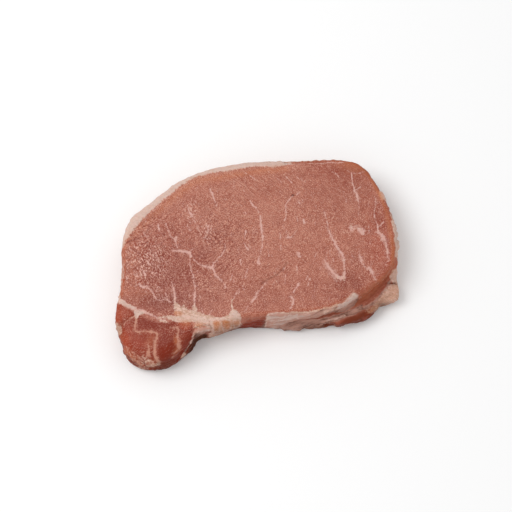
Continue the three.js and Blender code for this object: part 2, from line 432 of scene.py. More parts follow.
def rounded(path: tuple[float, ...], closed: bool = False, steps: int = 4) -> Field:
    """Points of the spline through a path.

    Args:
        path: x and y by turns.
        closed: whether the path runs back to its start.
        steps: points from each point of the path to the next.
    """
    knots = np.asarray(path, float).reshape(-1, 2)
    if len(knots) < 3:
        return knots
    if closed:
        knots = np.vstack([knots[-1:], knots, knots[:2]])
    else:
        knots = np.vstack([2 * knots[0] - knots[1], knots, 2 * knots[-1] - knots[-2]])
    four = (knots[i : len(knots) - 3 + i, None] for i in range(4))
    points, _ = spline(*four, np.linspace(0.0, 1.0, steps, endpoint=False)[None, :, None])
    points = points.reshape(-1, 2)
    return points if closed else np.vstack([points, knots[-2:-1]])


def to_segments(pixels: Field, path: Field) -> tuple[Field, Field]:
    """Distance of each pixel to a path, and how far along it the nearest place lies, from 0 to 1."""
    steps = np.linalg.norm(np.diff(path, axis=0), axis=1)
    run = np.concatenate([[0.0], np.cumsum(steps)]) / steps.sum()
    nearest = np.full(len(pixels), np.inf)
    share = np.zeros(len(pixels))
    for start, end, run_start, run_end in zip(path[:-1], path[1:], run[:-1], run[1:]):
        line = end - start
        t = np.clip(((pixels - start) @ line) / max(line @ line, 1e-9), 0.0, 1.0)
        away = np.linalg.norm(pixels - start - t[:, None] * line, axis=1)
        closer = away < nearest
        nearest[closer] = away[closer]
        share[closer] = (run_start + t * (run_end - run_start))[closer]
    return nearest, share


def close_to(pixels: Field, path: Field, reach: float) -> NDArray[np.bool_]:
    """Which pixels lie in the box round a path, widened by reach."""
    return np.all((pixels > path.min(axis=0) - reach) & (pixels < path.max(axis=0) + reach), axis=1)


@dataclass(frozen=True)
class Mark:
    """A mark on the meat, which has a strength at each pixel of the photograph."""

    kind: Kind
    name: str

    def cover(self, pixels: Field) -> Field:
        """Strength of the mark at each pixel."""
        raise NotImplementedError

    def branches(self, rng: np.random.Generator) -> list["Mark"]:
        """The marks that spring from this one, which only a stroke has."""
        return []


@dataclass(frozen=True)
class Spur:
    """A short side branch of a stroke. What has two values is drawn evenly between them."""

    turn: Pair = (0.3, 1.1)  # radians away from the stroke
    length: Pair = (1.5, 4.5)
    strength: Pair = (0.35, 0.8)  # share of the stroke's own
    width: float = 1.1
    edge: float = 1.3
    end_width: float = 0.4


@dataclass(frozen=True)
class Stroke(Mark):
    """A mark along a smooth line through pixels, with a soft edge.

    The path is x and y by turns. The width runs evenly to end_width, or stays where that is 0. edge is
    how wide the soft edge is, spurs the number of short side branches, and glow the strength of a
    fainter halo that reaches glow_reach out.
    """

    path: tuple[float, ...]
    width: float
    strength: float = 1.0
    edge: float = 1.4
    spurs: int = 0
    end_width: float = 0.0
    glow: float = 0.0
    glow_reach: float = 3.5

    def cover(self, pixels: Field) -> Field:
        """Strength of the mark at each pixel: full within half the width of the line less half the
        edge, and gone half an edge outside it.
        """
        path = rounded(self.path)
        end_width = self.end_width or self.width
        reach = 0.5 * max(self.width, end_width) + self.edge + self.glow_reach
        found = np.zeros(len(pixels))
        near = close_to(pixels, path, reach)
        away, share = to_segments(pixels[near], path)
        away = away - 0.5 * (self.width + share * (end_width - self.width))
        core = 1.0 - smooth(away, -0.5 * self.edge, 0.5 * self.edge)
        halo = self.glow * (1.0 - smooth(away, 0.0, self.glow_reach))
        found[near] = self.strength * np.maximum(core, halo)
        return found

    def branches(self, rng: np.random.Generator) -> list[Mark]:
        """The short side branches, drawn at random places along the line and pointing on and outwards."""
        path = rounded(self.path)
        spur = Spur()
        made: list[Mark] = []
        for _ in range(self.spurs):
            i = rng.integers(0, len(path) - 1)
            start = path[i] + rng.uniform(0.0, 1.0) * (path[i + 1] - path[i])
            heading = math.atan2(*(path[i + 1] - path[i])[::-1])
            heading += rng.choice((-1, 1)) * rng.uniform(*spur.turn)
            end = start + rng.uniform(*spur.length) * np.array([math.cos(heading), math.sin(heading)])
            strength = self.strength * rng.uniform(*spur.strength)
            line = (*start, *end)
            made.append(
                Stroke(self.kind, self.name, line, spur.width, strength, spur.edge, 0, spur.end_width)
            )
        return made


@dataclass(frozen=True)
class Patch(Mark):
    """A mark that fills a smooth outline through pixels, x and y by turns, with a soft edge."""

    path: tuple[float, ...]
    strength: float = 1.0
    edge: float = 2.0

    def cover(self, pixels: Field) -> Field:
        """Strength of the mark at each pixel, from its distance to the outline, inside counted as plus."""
        path = rounded(self.path, closed=True)
        path = np.vstack([path, path[:1]])
        found = np.zeros(len(pixels))
        near = close_to(pixels, path, self.edge)
        places = pixels[near]
        inside = np.zeros(len(places), bool)
        for start, end in zip(path[:-1], path[1:]):
            rise = end[1] - start[1]
            if rise == 0.0:
                continue
            spans = (start[1] > places[:, 1]) != (end[1] > places[:, 1])
            crossing = start[0] + (end[0] - start[0]) * (places[:, 1] - start[1]) / rise
            inside ^= spans & (places[:, 0] < crossing)
        away, _ = to_segments(places, path)
        signed = np.where(inside, away, -away)
        found[near] = self.strength * smooth(signed, -0.5 * self.edge, 0.5 * self.edge)
        return found


@dataclass(frozen=True)
class Blush(Mark):
    """A soft oval mark: a bell curve over its half sizes in pixels."""

    centre: Pair
    half: Pair
    strength: float = 1.0
    turn: float = 0.0  # degrees, clockwise in the picture

    def cover(self, pixels: Field) -> Field:
        """Strength of the mark at each pixel."""
        offset = pixels - np.asarray(self.centre)
        turn = math.radians(self.turn)
        along = (offset[:, 0] * math.cos(turn) + offset[:, 1] * math.sin(turn)) / self.half[0]
        across = (offset[:, 1] * math.cos(turn) - offset[:, 0] * math.sin(turn)) / self.half[1]
        return self.strength * np.exp(-(along**2 + across**2))


@dataclass
class Region:
    """One part of the chop and the marks by which the photograph shows it."""

    name: str
    marks: list[Mark] = field(default_factory=list)

    def add(self, make: type[Mark], kind: Kind, *rows: tuple[Any, ...]) -> None:
        """Adds marks. Their order matters only for the side branches, which are drawn in it.

        Args:
            make: class of the marks.
            kind: what they are made of.
            rows: for each mark its name and then its other values, in the order of its class.
        """
        self.marks += [make(kind, *row) for row in rows]


CAP = Region("fat cap")
CAP.add(Patch, FAT,
    ("fat cap", (119, 250, 124, 245.4, 128, 239, 133.5, 231, 139, 223.6, 147, 214.8, 155, 207.4, 163, 200.2,
        169, 195.6, 176, 189.6, 182, 185.2, 190, 180.4, 196, 177.8, 205, 175, 214, 173, 222, 171.6,
        229, 170.8, 235, 169.6, 243, 168, 254, 166.8, 265, 166.6, 273, 167.4, 279, 166.4, 284, 164.8,
        291, 162.6, 293, 150, 200, 150, 120, 190, 105, 240), 1, 3.6),
    ("tag of fat on the right rim", (379, 191, 382, 190, 386, 196, 386, 201, 381, 199), 1, 1.2),
)
CAP.add(Patch, PALE,
    ("white of the cap", (112, 250, 127.3, 240, 138.7, 226, 155, 210, 173, 193.6, 190, 180, 222, 172,
        254, 167, 292, 165, 294, 150, 200, 150, 120, 190), 0.85, 3),
)
CAP.add(Stroke, SILVER,
    ("grey line on the cap", (150, 210, 141, 218, 134, 227), 1.2, 0.5),
    ("grey edge of the far cap", (262, 163, 272, 163.6, 284, 162), 1.6, 0.75),
)
CAP.add(Stroke, DEEP,
    ("shaded edge of the cap", (121, 240, 123, 232, 127, 224, 134, 214, 150, 201, 170, 185, 196, 173,
        222, 166.5, 250, 162.5), 1, 0.3, 2),
    ("dark line of the far rim", (296, 161.5, 320, 160.5, 346, 160, 360, 165, 369, 174, 379, 190, 388, 206,
        393, 216), 0.8, 0.35, 1.6),
    # painted shade in the crease along the cap
    ("crease along the cap", (121, 246, 126, 243, 133, 240, 143, 236, 148, 230.5,
        152, 226.5), 1.8, 1, 1.6, 0, 1.2),
)
CAP.add(Stroke, WARM,
    ("warm lean along the cap", (128, 244, 136, 233, 146, 222, 160, 210, 176, 196, 196, 182, 216, 178,
        240, 174, 262, 171, 286, 169), 5, 0.75, 9),
    ("warm right rim", (364, 169, 376, 188, 384, 206, 388.5, 222, 391.5, 240, 393.5, 256,
        392.6, 268), 2.8, 0.9, 3.6),
    ("warm left rim", (126, 247, 125, 262, 126, 280, 125, 293), 10, 0.4, 12),
    ("orange right rim", (385, 212, 388, 224, 390.5, 240, 392.5, 256, 392, 268), 3, 0.7, 3),
)
CAP.add(Stroke, PALE,
    ("pale lean along the cap", (170, 196, 190, 184, 214, 176, 250, 170, 290, 167.5, 312, 167), 4, 0.6, 8),
    ("white of the right rim", (394, 222, 395.6, 238, 396.4, 250, 397, 256), 3, 0.5, 1.6),
)
CAP.add(Stroke, FAT,
    ("white line along the thin cap", (262, 165, 272, 166.6, 281, 165.4, 290, 163.4), 1, 0.95),
    ("bit of fat on the right rim 1", (392.6, 221.5, 393.6, 226, 394.6, 230.5), 3.4, 1, 1.2),
    ("bit of fat on the right rim 2", (395.4, 232.5, 396, 237), 3.2, 1, 1.2),
    ("strip of fat on the right rim", (395.4, 238, 396.2, 244, 396.6, 250, 397, 256), 4),
    ("pale left rim", (121, 248, 120.5, 262, 122, 275, 120, 290), 1.6, 0.7, 2.4),
    ("bump of fat on the left rim", (119, 284, 119.5, 291, 119.5, 300), 2.4, 0.8, 1.2),
    ("pale right rim", (390, 212, 392.6, 222, 394.6, 236, 396, 254), 2, 0.65, 2),
)
CAP.add(Stroke, VEIN,
    ("pale line inside the far rim", (288, 164, 304, 163, 322, 162.8, 344, 162.4), 1.3, 0.7, 1.6),
)
CAP.add(Blush, WARM, ("warm far corner", (353, 167), (18, 7), 1, 12))
CAP.add(Blush, PALE,
    ("pale of the tag", (381, 196), (4, 5)),
    ("white of the tag", (383.5, 196), (4, 6)),
    ("pale specks of the left rim", (123, 266), (6, 32)),
)
CAP.add(Stroke, RED, ("red end of the right rim", (391, 257, 394, 262, 393, 270, 389, 277), 5, 0.6, 4))
CAP.add(Stroke, RAISED,
    ("tag", (381, 193, 384, 199), 3, 0.6, 3),
    ("swell of the right rim", (391, 212, 394, 226, 396, 244, 396.5, 262), 3, 0.2, 5),
    ("bit on the right rim 1", (394.5, 226, 395, 229), 2.4, 0.6, 2.4),
    ("bit on the right rim 2", (396, 233, 396.5, 236), 2.4, 0.8, 2.4),
    ("bit on the right rim 3", (397, 241.5, 397.5, 249), 3, 1.2, 2.8),
    ("left bump", (117.5, 286, 117, 292, 118, 297), 2, 0.7, 4),
    ("nub on the far edge", (277.5, 160, 280, 160.5), 1.6, 0.5, 3),
)
CAP.add(Stroke, SUNK,
    ("dent of the left rim", (120.5, 260, 120, 268, 121, 276), 5, 0.9, 4),
    ("dip of the far edge", (286, 161, 300, 160.5, 314, 160, 324, 160.5), 5, 0.9, 4),
    ("dent left of the tail", (114, 333, 117.5, 341, 121, 347), 5, 1, 4),
    ("crease along the cap", (123, 245.5, 131, 241.2, 143, 237, 152, 229.5), 0.8, 0.15, 4),
)

SEAM = Region("seam of fat")
SEAM.add(Stroke, VEIN,
    ("left part", (116, 299.6, 121, 302, 127, 305.4, 133, 308.4, 138, 310.6,
        142, 311.4), 6.4, 0.72, 3, 9, 3, 0.3),
)
SEAM.add(Stroke, FAT,
    ("left part, white", (116, 299.4, 121, 301.8, 127, 304.8, 134, 308), 6, 0.85, 2.6, 0, 2.8),
    ("knot, white", (136.6, 317, 137.4, 314.4, 139, 312.8, 142, 312.4), 3.6, 1, 2, 4, 1.4),
)
SEAM.add(Blush, PALE,
    ("pale of the knot", (138, 313), (7, 5)),
    ("white of the knot", (139, 313.6), (5, 4)),
    ("white of the lump", (235, 314.6), (5, 5)),
)
SEAM.add(Stroke, PALE,
    ("pale of the left part", (116, 299, 124, 303.4, 134, 309), 6, 0.9, 3),
    ("pink line between the spots", (221, 320, 221.5, 326, 224, 331), 1.4, 0.8, 1.8),
    ("light of the grey lump", (199.5, 331.4, 204, 330, 209, 329.4), 2.2, 1, 1.8),
)
SEAM.add(Stroke, VEIN,
    ("left part, end", (140, 310, 146, 312.4, 152, 315, 158, 318.2, 165, 320.8), 3, 0.75, 2.2, 5, 1.8, 0.2),
    ("spike 4", (204, 316, 201.5, 308), 2.2, 0.7, 1.6, 0, 0.6),
    ("spike 5", (209, 316, 213.5, 307.5), 2, 0.6, 1.6, 0, 0.6),
    ("spike 6", (187, 312, 184.5, 305.5), 2.4, 0.6, 1.6, 0, 0.6),
)
SEAM.add(Patch, FAT,
    ("knot", (134.4, 309.6, 138, 309.6, 143, 311.4, 144.4, 313.4, 141, 315, 138.6, 316.4, 137, 319,
        135, 318.4, 134.2, 313.5), 0.85),
    ("band", (168, 316, 176, 315.5, 184, 313, 190, 310.5, 197, 311, 203, 314, 212, 316, 222, 317.5,
        231, 314.5, 231, 322.5, 222, 324, 212, 323.5, 200, 323.5, 193, 322, 184, 322.6, 176, 321.4,
        169, 319.6), 0.95, 2.2),
    ("frayed fat over the band", (174.6, 299, 177, 304, 181, 306, 186, 308.6, 190, 310, 193, 307,
        194.5, 303, 197, 309, 200, 313.6, 207, 317, 196, 319, 182, 317, 175, 314, 174, 307), 0.85, 3.4),
    ("lump", (227, 318, 230, 312, 232.5, 308.5, 236, 311, 240, 315, 241, 321, 239.5, 326, 235, 327.5,
        228, 325), 0.95, 2.2),
    ("beige fat below the band", (196, 321, 202, 320, 214, 321, 230, 321, 241, 322, 239, 328, 229, 332,
        222, 335, 214, 339, 208, 336, 211.5, 329, 205, 327, 198, 328.6, 194.5, 328), 0.78, 3.4),
    ("white bit at the notch", (208.5, 335.6, 212, 333.4, 215.6, 333, 216, 337, 211.5, 339.4), 0.8, 1.4),
)
SEAM.add(Stroke, FAT,
    ("left end of the band", (159, 317.8, 165, 317.2, 172, 317, 180, 316.6), 2.2, 0.85, 2.4, 6),
    ("white tip of the band", (158, 320, 163, 321.4, 166.5, 321.4), 1.6, 0.75, 1.8),
    ("fan of fat 1", (176, 304, 182, 307.5, 188, 312), 1.6, 0.8, 1.6, 0, 2.4),
    ("fan of fat 2", (183.6, 305, 186, 308.5, 189, 313), 1.4, 0.8, 1.6, 0, 2.4),
    ("spike 1", (181, 313, 176.5, 304, 174.6, 298), 3, 0.7, 1.8, 4, 0.8),
    ("spike 2", (194, 315, 194.6, 303), 3.6, 0.8, 1.8, 3, 1),
    ("spike 3", (234.5, 312, 231.5, 304, 232.6, 299), 3, 0.75, 1.4, 2, 0.8),
    ("white of the grey lump", (197, 332.6, 202, 331, 209, 330.4), 1.6, 0.7, 1.6),
)
SEAM.add(Patch, WARM,
    ("warm fat over the band", (174, 311, 178, 310.6, 182.5, 312.5, 182, 315, 176, 315.6,
        173.6, 314), 0.9, 2.4),
    ("orange spot 1", (213.6, 321, 219, 320.6, 219.6, 325, 218.6, 330, 215.4, 331, 213.8, 326), 0.95, 3),
    ("orange spot 2", (222, 321, 230, 320.6, 230.6, 324, 229.6, 328, 225, 328.4, 222.4, 325), 1, 3),
    ("orange spot 3", (234, 321, 239.6, 319.6, 239.4, 323.6, 236, 326.4, 233.4, 324), 0.8, 2.6),
)
SEAM.add(Blush, WARM,
    ("tan below the band", (199, 325), (6, 3)),
    ("orange glow at the notch", (186, 323), (6, 4), 0.7),
)
SEAM.add(Stroke, CREASE,
    # painted shade at the foot of the spots and in the folds round the grey lump
    ("brown foot of the spots", (212, 338, 218, 335.6, 226, 332, 234, 330, 240, 328.4), 3, 0.66, 3.4),
    ("brown line over the lump", (190, 332.5, 194.5, 328.6, 200, 326.2, 209.5, 325.4,
        211.6, 327.5), 1, 0.6),
    ("brown line in the lump", (198, 332.4, 204, 331.2, 209, 331.4), 0.8, 0.4),
    ("brown line under the lump", (192, 338, 198, 335, 205, 333.4, 210.5, 331.4), 1.2, 0.7),
)
SEAM.add(Stroke, WARM,
    ("tan between the spots", (219.6, 322, 221.4, 331), 1.4, 0.6, 2),
    ("tan left of the last spot", (231.6, 320, 232.6, 328), 1.6, 0.8, 2),
)
SEAM.add(Stroke, DEEP, ("shade between the spots", (231.6, 322, 232.4, 326, 236, 328), 1.2, 0.4, 2))
SEAM.add(Blush, CREASE,
    # painted shade below the spots and by the lump
    ("brown fat below the spots 1", (219, 332.6), (7, 3.6), 0.5),
    ("brown fat below the spots 2", (228, 329.6), (7, 2.6), 0.4),
    ("shade of the lump", (236, 326), (6, 2.4), 0.45),
)
SEAM.add(Patch, RED,
    ("orange lean at the notch", (179, 321, 188, 320, 191, 325, 188, 330, 181, 328), 0.8, 3),
)
SEAM.add(Patch, SILVER,
    ("grey folded lump", (192, 334.5, 196, 330, 203, 327.4, 210.5, 327, 211, 330.4, 204, 333,
        196, 337), 1, 1.4),
)
SEAM.add(Patch, CREASE,
    # painted shadow in the undercut at the notch
    ("undercut at the notch", (193.6, 339, 198, 336, 205, 334.2, 207.6, 336, 205, 341, 200, 348, 192, 358,
        184, 366, 182, 361, 188, 351), 1, 3),
)
SEAM.add(Stroke, SUNK,
    ("groove of the seam, left", (118, 299, 128, 304, 141, 311, 152, 317, 166, 321), 1, 0.4, 6),
    ("groove of the seam, right", (166, 320, 186, 319.5, 206, 321, 226, 321), 1, 0.25, 5),
    ("undercut", (206, 334.5, 198, 338.5, 192, 345), 2, 0.5, 5),
)
SEAM.add(Blush, RAISED, ("lump", (235, 315), (6, 6), 0.6))
SEAM.add(Stroke, RAISED,
    ("ridge between the spots", (221, 321, 222, 331), 2, 0.4, 4),
    ("ridge by the lump", (210.5, 327, 213, 335), 2.4, 0.4, 4),
    ("grey lump", (195, 333.5, 202, 329.5, 210, 329), 2, 0.6, 4),
    ("foot of the undercut", (212, 338, 202, 340, 194, 347, 186, 358), 2, 0.6, 4),
)

FOLD = (
    136.2, 316, 135.8, 321, 134.8, 328.5, 138, 332, 147, 331.4, 154.4, 332.4, 156.8, 335.6, 155.2, 344,
    154.2, 352, 156, 358.5, 160, 363,
)
RIGHT_FOLD = (170, 327.4, 177, 327.8, 178.4, 330, 177, 335.5, 178.8, 341.5, 179.6, 347)
TAIL_FLESH = Region("tail")
TAIL_FLESH.add(Patch, TAIL,
    ("tail", (112, 300, 121, 304, 133, 310, 141, 316, 152, 320.5, 166, 323, 174, 320, 182, 319.5, 191, 323,
        194, 333, 191, 345, 187, 358, 182, 378, 120, 378, 106, 335), 1, 2.6),
)
TAIL_FLESH.add(Patch, RED,
    ("lobe at the left edge", (115, 304, 124, 307, 132, 312, 130, 317, 124, 319.5, 116, 323), 0.7, 4),
)
TAIL_FLESH.add(Blush, WARM,
    ("warm lobe at the left edge", (122, 309), (9, 7), 0.12),
    ("warm left wall", (118, 338), (6, 24), 0.3, -12),
    ("orange lean in the fold", (150.6, 340), (5.5, 6), 0.5),
    ("lit lean under the fold", (145, 335), (9, 2.2), 0.15),
    ("tan lean by the right fold", (176, 341), (2.6, 6), 0.7),
    ("tan lean by the right fold, lower", (176, 350), (4, 5), 0.5, 30),
    ("tan of the nodule", (153, 364), (8, 4), 0.4),
)
TAIL_FLESH.add(Blush, RED,
    ("red lean left of the fold", (142, 340), (15, 9)),
    ("red lean at the left edge", (128, 337), (8, 12), 0.95),
)
TAIL_FLESH.add(Blush, DEEP,
    ("shade left of the fold", (143, 337), (15, 9), 0.65),
    ("deep lean in the fold", (151, 341), (4, 6), 0.45),
    # painted shade at the foot and by the shaded right wall
    ("brown lean at the foot", (172, 362), (18, 6), 0.9, -20),
    ("brown lean by the right wall", (186, 338), (5, 8), 0.35, 25),
)
TAIL_FLESH.add(Patch, DEEP,
    # deeper lean under the seam, partly painted shadow below the seam's edge
    ("dark strip", (139.5, 318.5, 147, 319.4, 157, 322.4, 168, 322.6, 174, 324, 172, 327, 164, 328.5,
        154, 330, 141, 329, 137.5, 323), 0.72, 3),
    ("dark lean right of the fold", (158.6, 335, 163, 333, 168, 334, 172, 336, 173, 340, 176, 347, 170, 354,
        162, 358, 158, 349), 0.8, 5),
)
TAIL_FLESH.add(Blush, CREASE,
    # painted shade at the foot of the tail
    ("olive foot", (166, 365), (15, 5), 0.55, -18),
    ("tan of the fat at the left edge", (119, 329), (4, 7), 0.3),
)
TAIL_FLESH.add(Stroke, DEEP,
    # painted shadow on the tail's undercut right wall
    ("brown right wall", (194, 337, 190, 347, 183, 356, 174, 363, 160, 369), 8, 0.8, 4),
)
TAIL_FLESH.add(Stroke, CREASE,
    # painted shade on the right wall, round the nodule and along the foot
    ("olive right wall", (198, 341, 194, 350, 185, 359, 175, 366, 160, 370), 5, 0.6, 4),
    ("brown line round the nodule", (143.5, 362, 147, 366.5, 154, 368.5, 161, 367), 1, 0.5, 1.6),
    ("brown line at the foot", (127, 356, 134, 363, 143, 368), 1.4, 0.5, 2.4),
)
TAIL_FLESH.add(Stroke, VEIN,
    ("fold, upper left", (134.5, 316.5, 128.5, 319.5, 123, 326), 1.8, 0.7, 1.4, 3, 1),
    ("fold", FOLD, 2, 0.85, 2.6, 9, 2.8, 0.36, 4),
    ("fold, across", (136.5, 331, 146, 331.4, 155, 332.6), 1.8, 0.8, 2),
    ("second fold", (147.8, 343.6, 148.4, 349, 148, 355), 1.2, 0.64, 2.8, 6, 6, 0.4, 5),
    ("right fold", RIGHT_FOLD, 1, 0.85, 1.8, 6, 1.8, 0.4),
    ("right fold, lower", (179.6, 346.5, 175.5, 352.5, 171, 358), 1.8, 0.7, 1.4, 0, 0.8, 0.4),
    ("right fold, broad", (177.6, 337, 179, 342, 178.6, 348), 1.8, 0.9, 2.4, 0, 3.4, 0.35),
    ("fine line in the dark strip", (155, 323.5, 163, 327, 170.5, 329), 1, 0.35, 1.6),
    ("fine line in the dark lean", (161, 333, 164, 347), 1, 0.3, 1.6),
    ("fat streak at the foot 1", (126, 347, 132, 352, 139, 357, 144, 362), 1.2, 0.8, 1.8, 5),
    ("fat streak at the foot 2", (134, 351, 139, 354, 144, 356), 1, 0.6, 1.8, 3),
    ("fat streak at the foot 3", (139, 366, 143, 368.5), 1.6, 0.8, 1.6),
)
TAIL_FLESH.add(Stroke, SILVER,
    ("silverskin on the right wall", (193.4, 334.5, 191.6, 341, 187, 349, 183, 356), 2.4, 1, 1.6, 0, 1.2),
)
TAIL_FLESH.add(Stroke, PALE,
    # painted highlights on the right wall and the nodule
    ("light of the right wall", (193.4, 334.5, 191.6, 341, 188, 348), 2.4, 1, 1.6, 0, 1),
    ("shine of the nodule", (158, 361, 161, 363, 160, 366), 1.2, 0.8, 1.8),
)
TAIL_FLESH.add(Stroke, FAT,
    ("white of the right wall", (193.2, 336, 191.4, 341, 187.6, 348.6), 1.4, 0.8, 1.4, 0, 0.6),
    ("white bit at the right foot", (184.6, 354.6, 182.8, 357.6), 3.6, 1, 1.2),
    ("nodule at the toe", (149, 360, 145.8, 361.5, 146, 364.5, 149.5, 366), 1.4, 0.85, 1.8),
)
TAIL_FLESH.add(Patch, FAT,
    ("fat at the left edge", (113, 322, 118, 323.4, 121, 327, 122, 333.6, 114, 335), 0.8, 2.6),
    ("tan fat at the foot", (127, 348, 133, 352, 140, 355.5, 147, 356, 152, 361, 151, 367, 142, 370,
        131, 361), 0.3, 4),
    ("fat below the fold", (151, 362, 156, 361.6, 160.6, 363, 159, 366.6, 151, 367), 0.7, 3),
)
TAIL_FLESH.add(Patch, VEIN,
    ("soft fat at the foot", (125, 349, 133, 351, 141, 355, 149, 355, 154, 361, 152, 368, 142, 371,
        130, 361), 0.32, 5),
)
TAIL_FLESH.add(Stroke, WARM,
    ("pink of the fat at the foot", (125, 350, 132, 357, 140, 364), 4, 0.5, 4),
    ("tan of the fat at the foot", (126, 349, 134, 356, 143, 365), 4, 0.25, 4),
)
TAIL_FLESH.add(Stroke, SUNK,
    ("fold", FOLD, 1, 0.45, 7),
    ("right fold", RIGHT_FOLD, 1, 0.35, 6),
    ("fold, upper left", (134.5, 316.5, 128.5, 319.5, 121, 327), 1, 0.35, 6),
    ("wall streak", (190, 334, 186, 344, 180, 352, 172, 360), 1, 0.4, 5),
)
TAIL_FLESH.add(Blush, RAISED,
    ("bundle 1", (144, 342), (10, 7), 0.5),
    ("bundle 2", (168, 343), (8, 11), 0.6),
    ("bundle 3", (124, 313), (6, 6), 0.5),
)
TAIL_FLESH.add(Stroke, RAISED, ("toe nodule", (147, 363, 157, 363), 2.4, 0.7, 3))

FRONT = Region("front wall")
FRONT.add(Patch, DEEP,
    # painted shade on the front wall below the cut face
    ("brown wall", (240, 332, 244, 324, 254, 320.5, 269, 319.5, 267, 336, 242, 336), 0.9, 6),
    ("shade of the grey wall", (300, 332, 308, 323, 324, 318, 344, 313, 362, 305, 357, 313, 324, 325,
        310, 332), 0.5),
    ("brown lean of the right wall", (345, 309.5, 352, 303.5, 358.5, 296, 368, 288, 378, 279, 388, 270,
        394, 261, 397, 266, 391, 277, 385, 287, 378, 296, 368, 302.5, 356, 308), 0.18, 2.6),
    ("lean of the lower layer, dark", (320, 332, 328.6, 323.4, 338, 321, 345, 318.2, 356, 315, 366, 311,
        376, 309, 378, 312, 370, 322, 340, 334), 0.8, 2.8),
)
FRONT.add(Stroke, DEEP,
    # painted shade at the foot of the front wall
    ("dark foot of the brown wall", (240, 326.6, 250, 325.6, 262, 326.6), 5, 0.95, 5),
    ("line of the brown wall 2", (360, 303.4, 370, 297, 379, 288, 388, 277), 1.6, 0.6, 2),
    # painted shade in the groove
    ("dark line in the groove", (366, 304.5, 374, 298, 381, 290, 387, 282), 1.2, 0.55),
)
FRONT.add(Stroke, SILVER,
    ("fray of the strip 1", (266, 324, 261, 327, 256, 328), 1.8, 0.8, 2, 0, 0.8),
    ("fray of the strip 2", (267, 319, 262.6, 322.5), 1.6, 0.8, 2, 0, 0.8),
    ("silverskin in the groove", (345, 314, 355, 311, 366, 307, 374, 302, 380.5, 296, 386, 288,
        392, 279), 3.4, 1, 2, 0, 2.2),
)
FRONT.add(Patch, SILVER,
    ("silverskin strip", (262.6, 331, 264.8, 322, 269, 313.2, 285, 312.4, 300, 311.9, 310, 311.2,
        324, 309.2, 340.4, 304.4, 347.2, 298.6, 353, 292.6, 359, 295.4, 355, 304, 348.6, 309.4, 340, 312.2,
        333, 313, 324, 316, 314, 318.3, 304, 319.5, 295, 321, 290, 323, 281, 329, 272, 332), 1, 1.6),
    ("grey wall", (281, 329, 290, 323, 298, 321, 309, 319.4, 324, 317.5, 340, 313.5, 356, 307.5, 363, 304.5,
        357, 313.5, 345, 317.6, 336, 321, 326, 325, 320, 333, 296, 334, 282, 334), 0.95),
)
FRONT.add(Patch, PALE,
    ("white of the strip, left", (269, 314, 285, 313.4, 303, 312.8, 312, 312.6, 303, 317, 291, 320.5,
        280, 326, 266, 329), 0.9, 2.6),
    ("white of the strip, right", (342, 301, 351, 293, 358.5, 295.4, 352, 302.6, 345, 306.6, 337, 310,
        338, 305)),
    ("pink of the seam", (160, 316, 228, 318, 236, 306, 243, 318, 240, 330, 190, 328), 0.4, 4),
)
FRONT.add(Stroke, FAT,
    ("white edge of the strip, left", (265.6, 326, 269.4, 314.4, 284, 313, 303, 312.2), 1.6, 0.8, 2, 5),
    ("white line on the strip", (303, 312.6, 313, 311, 322, 309, 331, 307.2, 340, 304), 1.6, 0.95, 1.3),
    ("pale foot of the strip", (324, 312, 333, 309.6, 342, 306.6), 3, 0.7, 2.6),
    ("white streaks of the strip 1", (270, 319, 282, 316.4, 297, 314.6), 1.8, 0.6, 1.6, 3),
    ("white streaks of the strip 2", (274, 323, 286, 319.6, 299, 317.6), 1.4, 0.55, 1.6, 3),
    ("white streaks of the strip 3", (343, 306, 349, 301.4, 355, 295.6), 4.4, 0.8, 2.4),
    ("white of the grey wall", (327, 321, 336, 318.6, 345, 315.6), 1.8, 0.6, 1.6, 2),
    ("fat on the lower layer 1", (334, 324, 339, 325.6, 343, 325.4), 1.2, 0.8, 1.6),
    ("fat on the lower layer 2", (366, 309.6, 370, 308, 375, 305.6), 1.8, 0.6, 1.8, 0, 3),
)
FRONT.add(Stroke, WARM,
    ("yellow of the white line", (318, 309.6, 331, 306.8, 339, 303), 1.6, 0.3),
    ("olive of the tan end", (364, 315, 371, 310.5, 377, 306), 4, 0.75, 3),
)
FRONT.add(Stroke, PALE,
    # painted highlights on the grey wall and the silverskin of the groove
    ("white glints of the grey wall", (322, 322, 330, 319.8, 338, 317.6, 345, 314.6), 1.6, 0.9, 1.6),
    ("light in the groove", (352, 311, 362, 307.6, 370, 302.6, 377, 297), 1.2, 0.9, 1.6),
    ("light streak of the groove 1", (342, 311.8, 350, 309.2, 360, 305.4), 1.4, 0.9, 1.6),
    ("light streak of the groove 2", (340, 316, 350, 312.2, 361, 307.6), 1.2, 0.8, 1.6),
)
FRONT.add(Blush, CREASE,
    # painted shade on the grey wall, along its foot and left of the flap
    ("shade of the grey wall, left", (309, 324), (15, 3.4), 0.45),
    ("olive foot of the grey wall", (300, 330), (34, 2.6), 0.5),
    ("shade at the left of the flap", (382, 305), (7, 4.4), 0.6),
    ("shade at the left of the grey wall", (285, 325), (9, 3), 0.32),
)
FRONT.add(Stroke, CREASE,
    # painted shade in the groove under the strip, the gap by the flap and the flap's wrinkles
    ("dark line under the strip", (289, 324, 300, 320.6, 314, 318.6, 326, 315.8, 336, 313.4, 342, 311.6,
        350, 307.4, 358.5, 299.6), 1, 0.45),
    ("gap between flap and lump", (392, 283.4, 395, 283, 399, 284), 1.2, 0.55, 1.6),
    ("wrinkle of the flap 1", (378, 302, 385, 298.5, 392, 293), 0.8, 0.3, 1.6),
    ("wrinkle of the flap 2", (381, 306, 389, 303.5, 396, 302), 0.8, 0.25, 1.6),
)
FRONT.add(Stroke, RED,
    ("red line under the strip", (318, 317.6, 330, 314.5, 341, 312.4, 349, 307.4), 1.2, 0.5),
    ("line of the brown wall 1", (352, 307, 362, 299, 373, 289.6, 384, 279), 1.4, 0.6, 1.8),
)
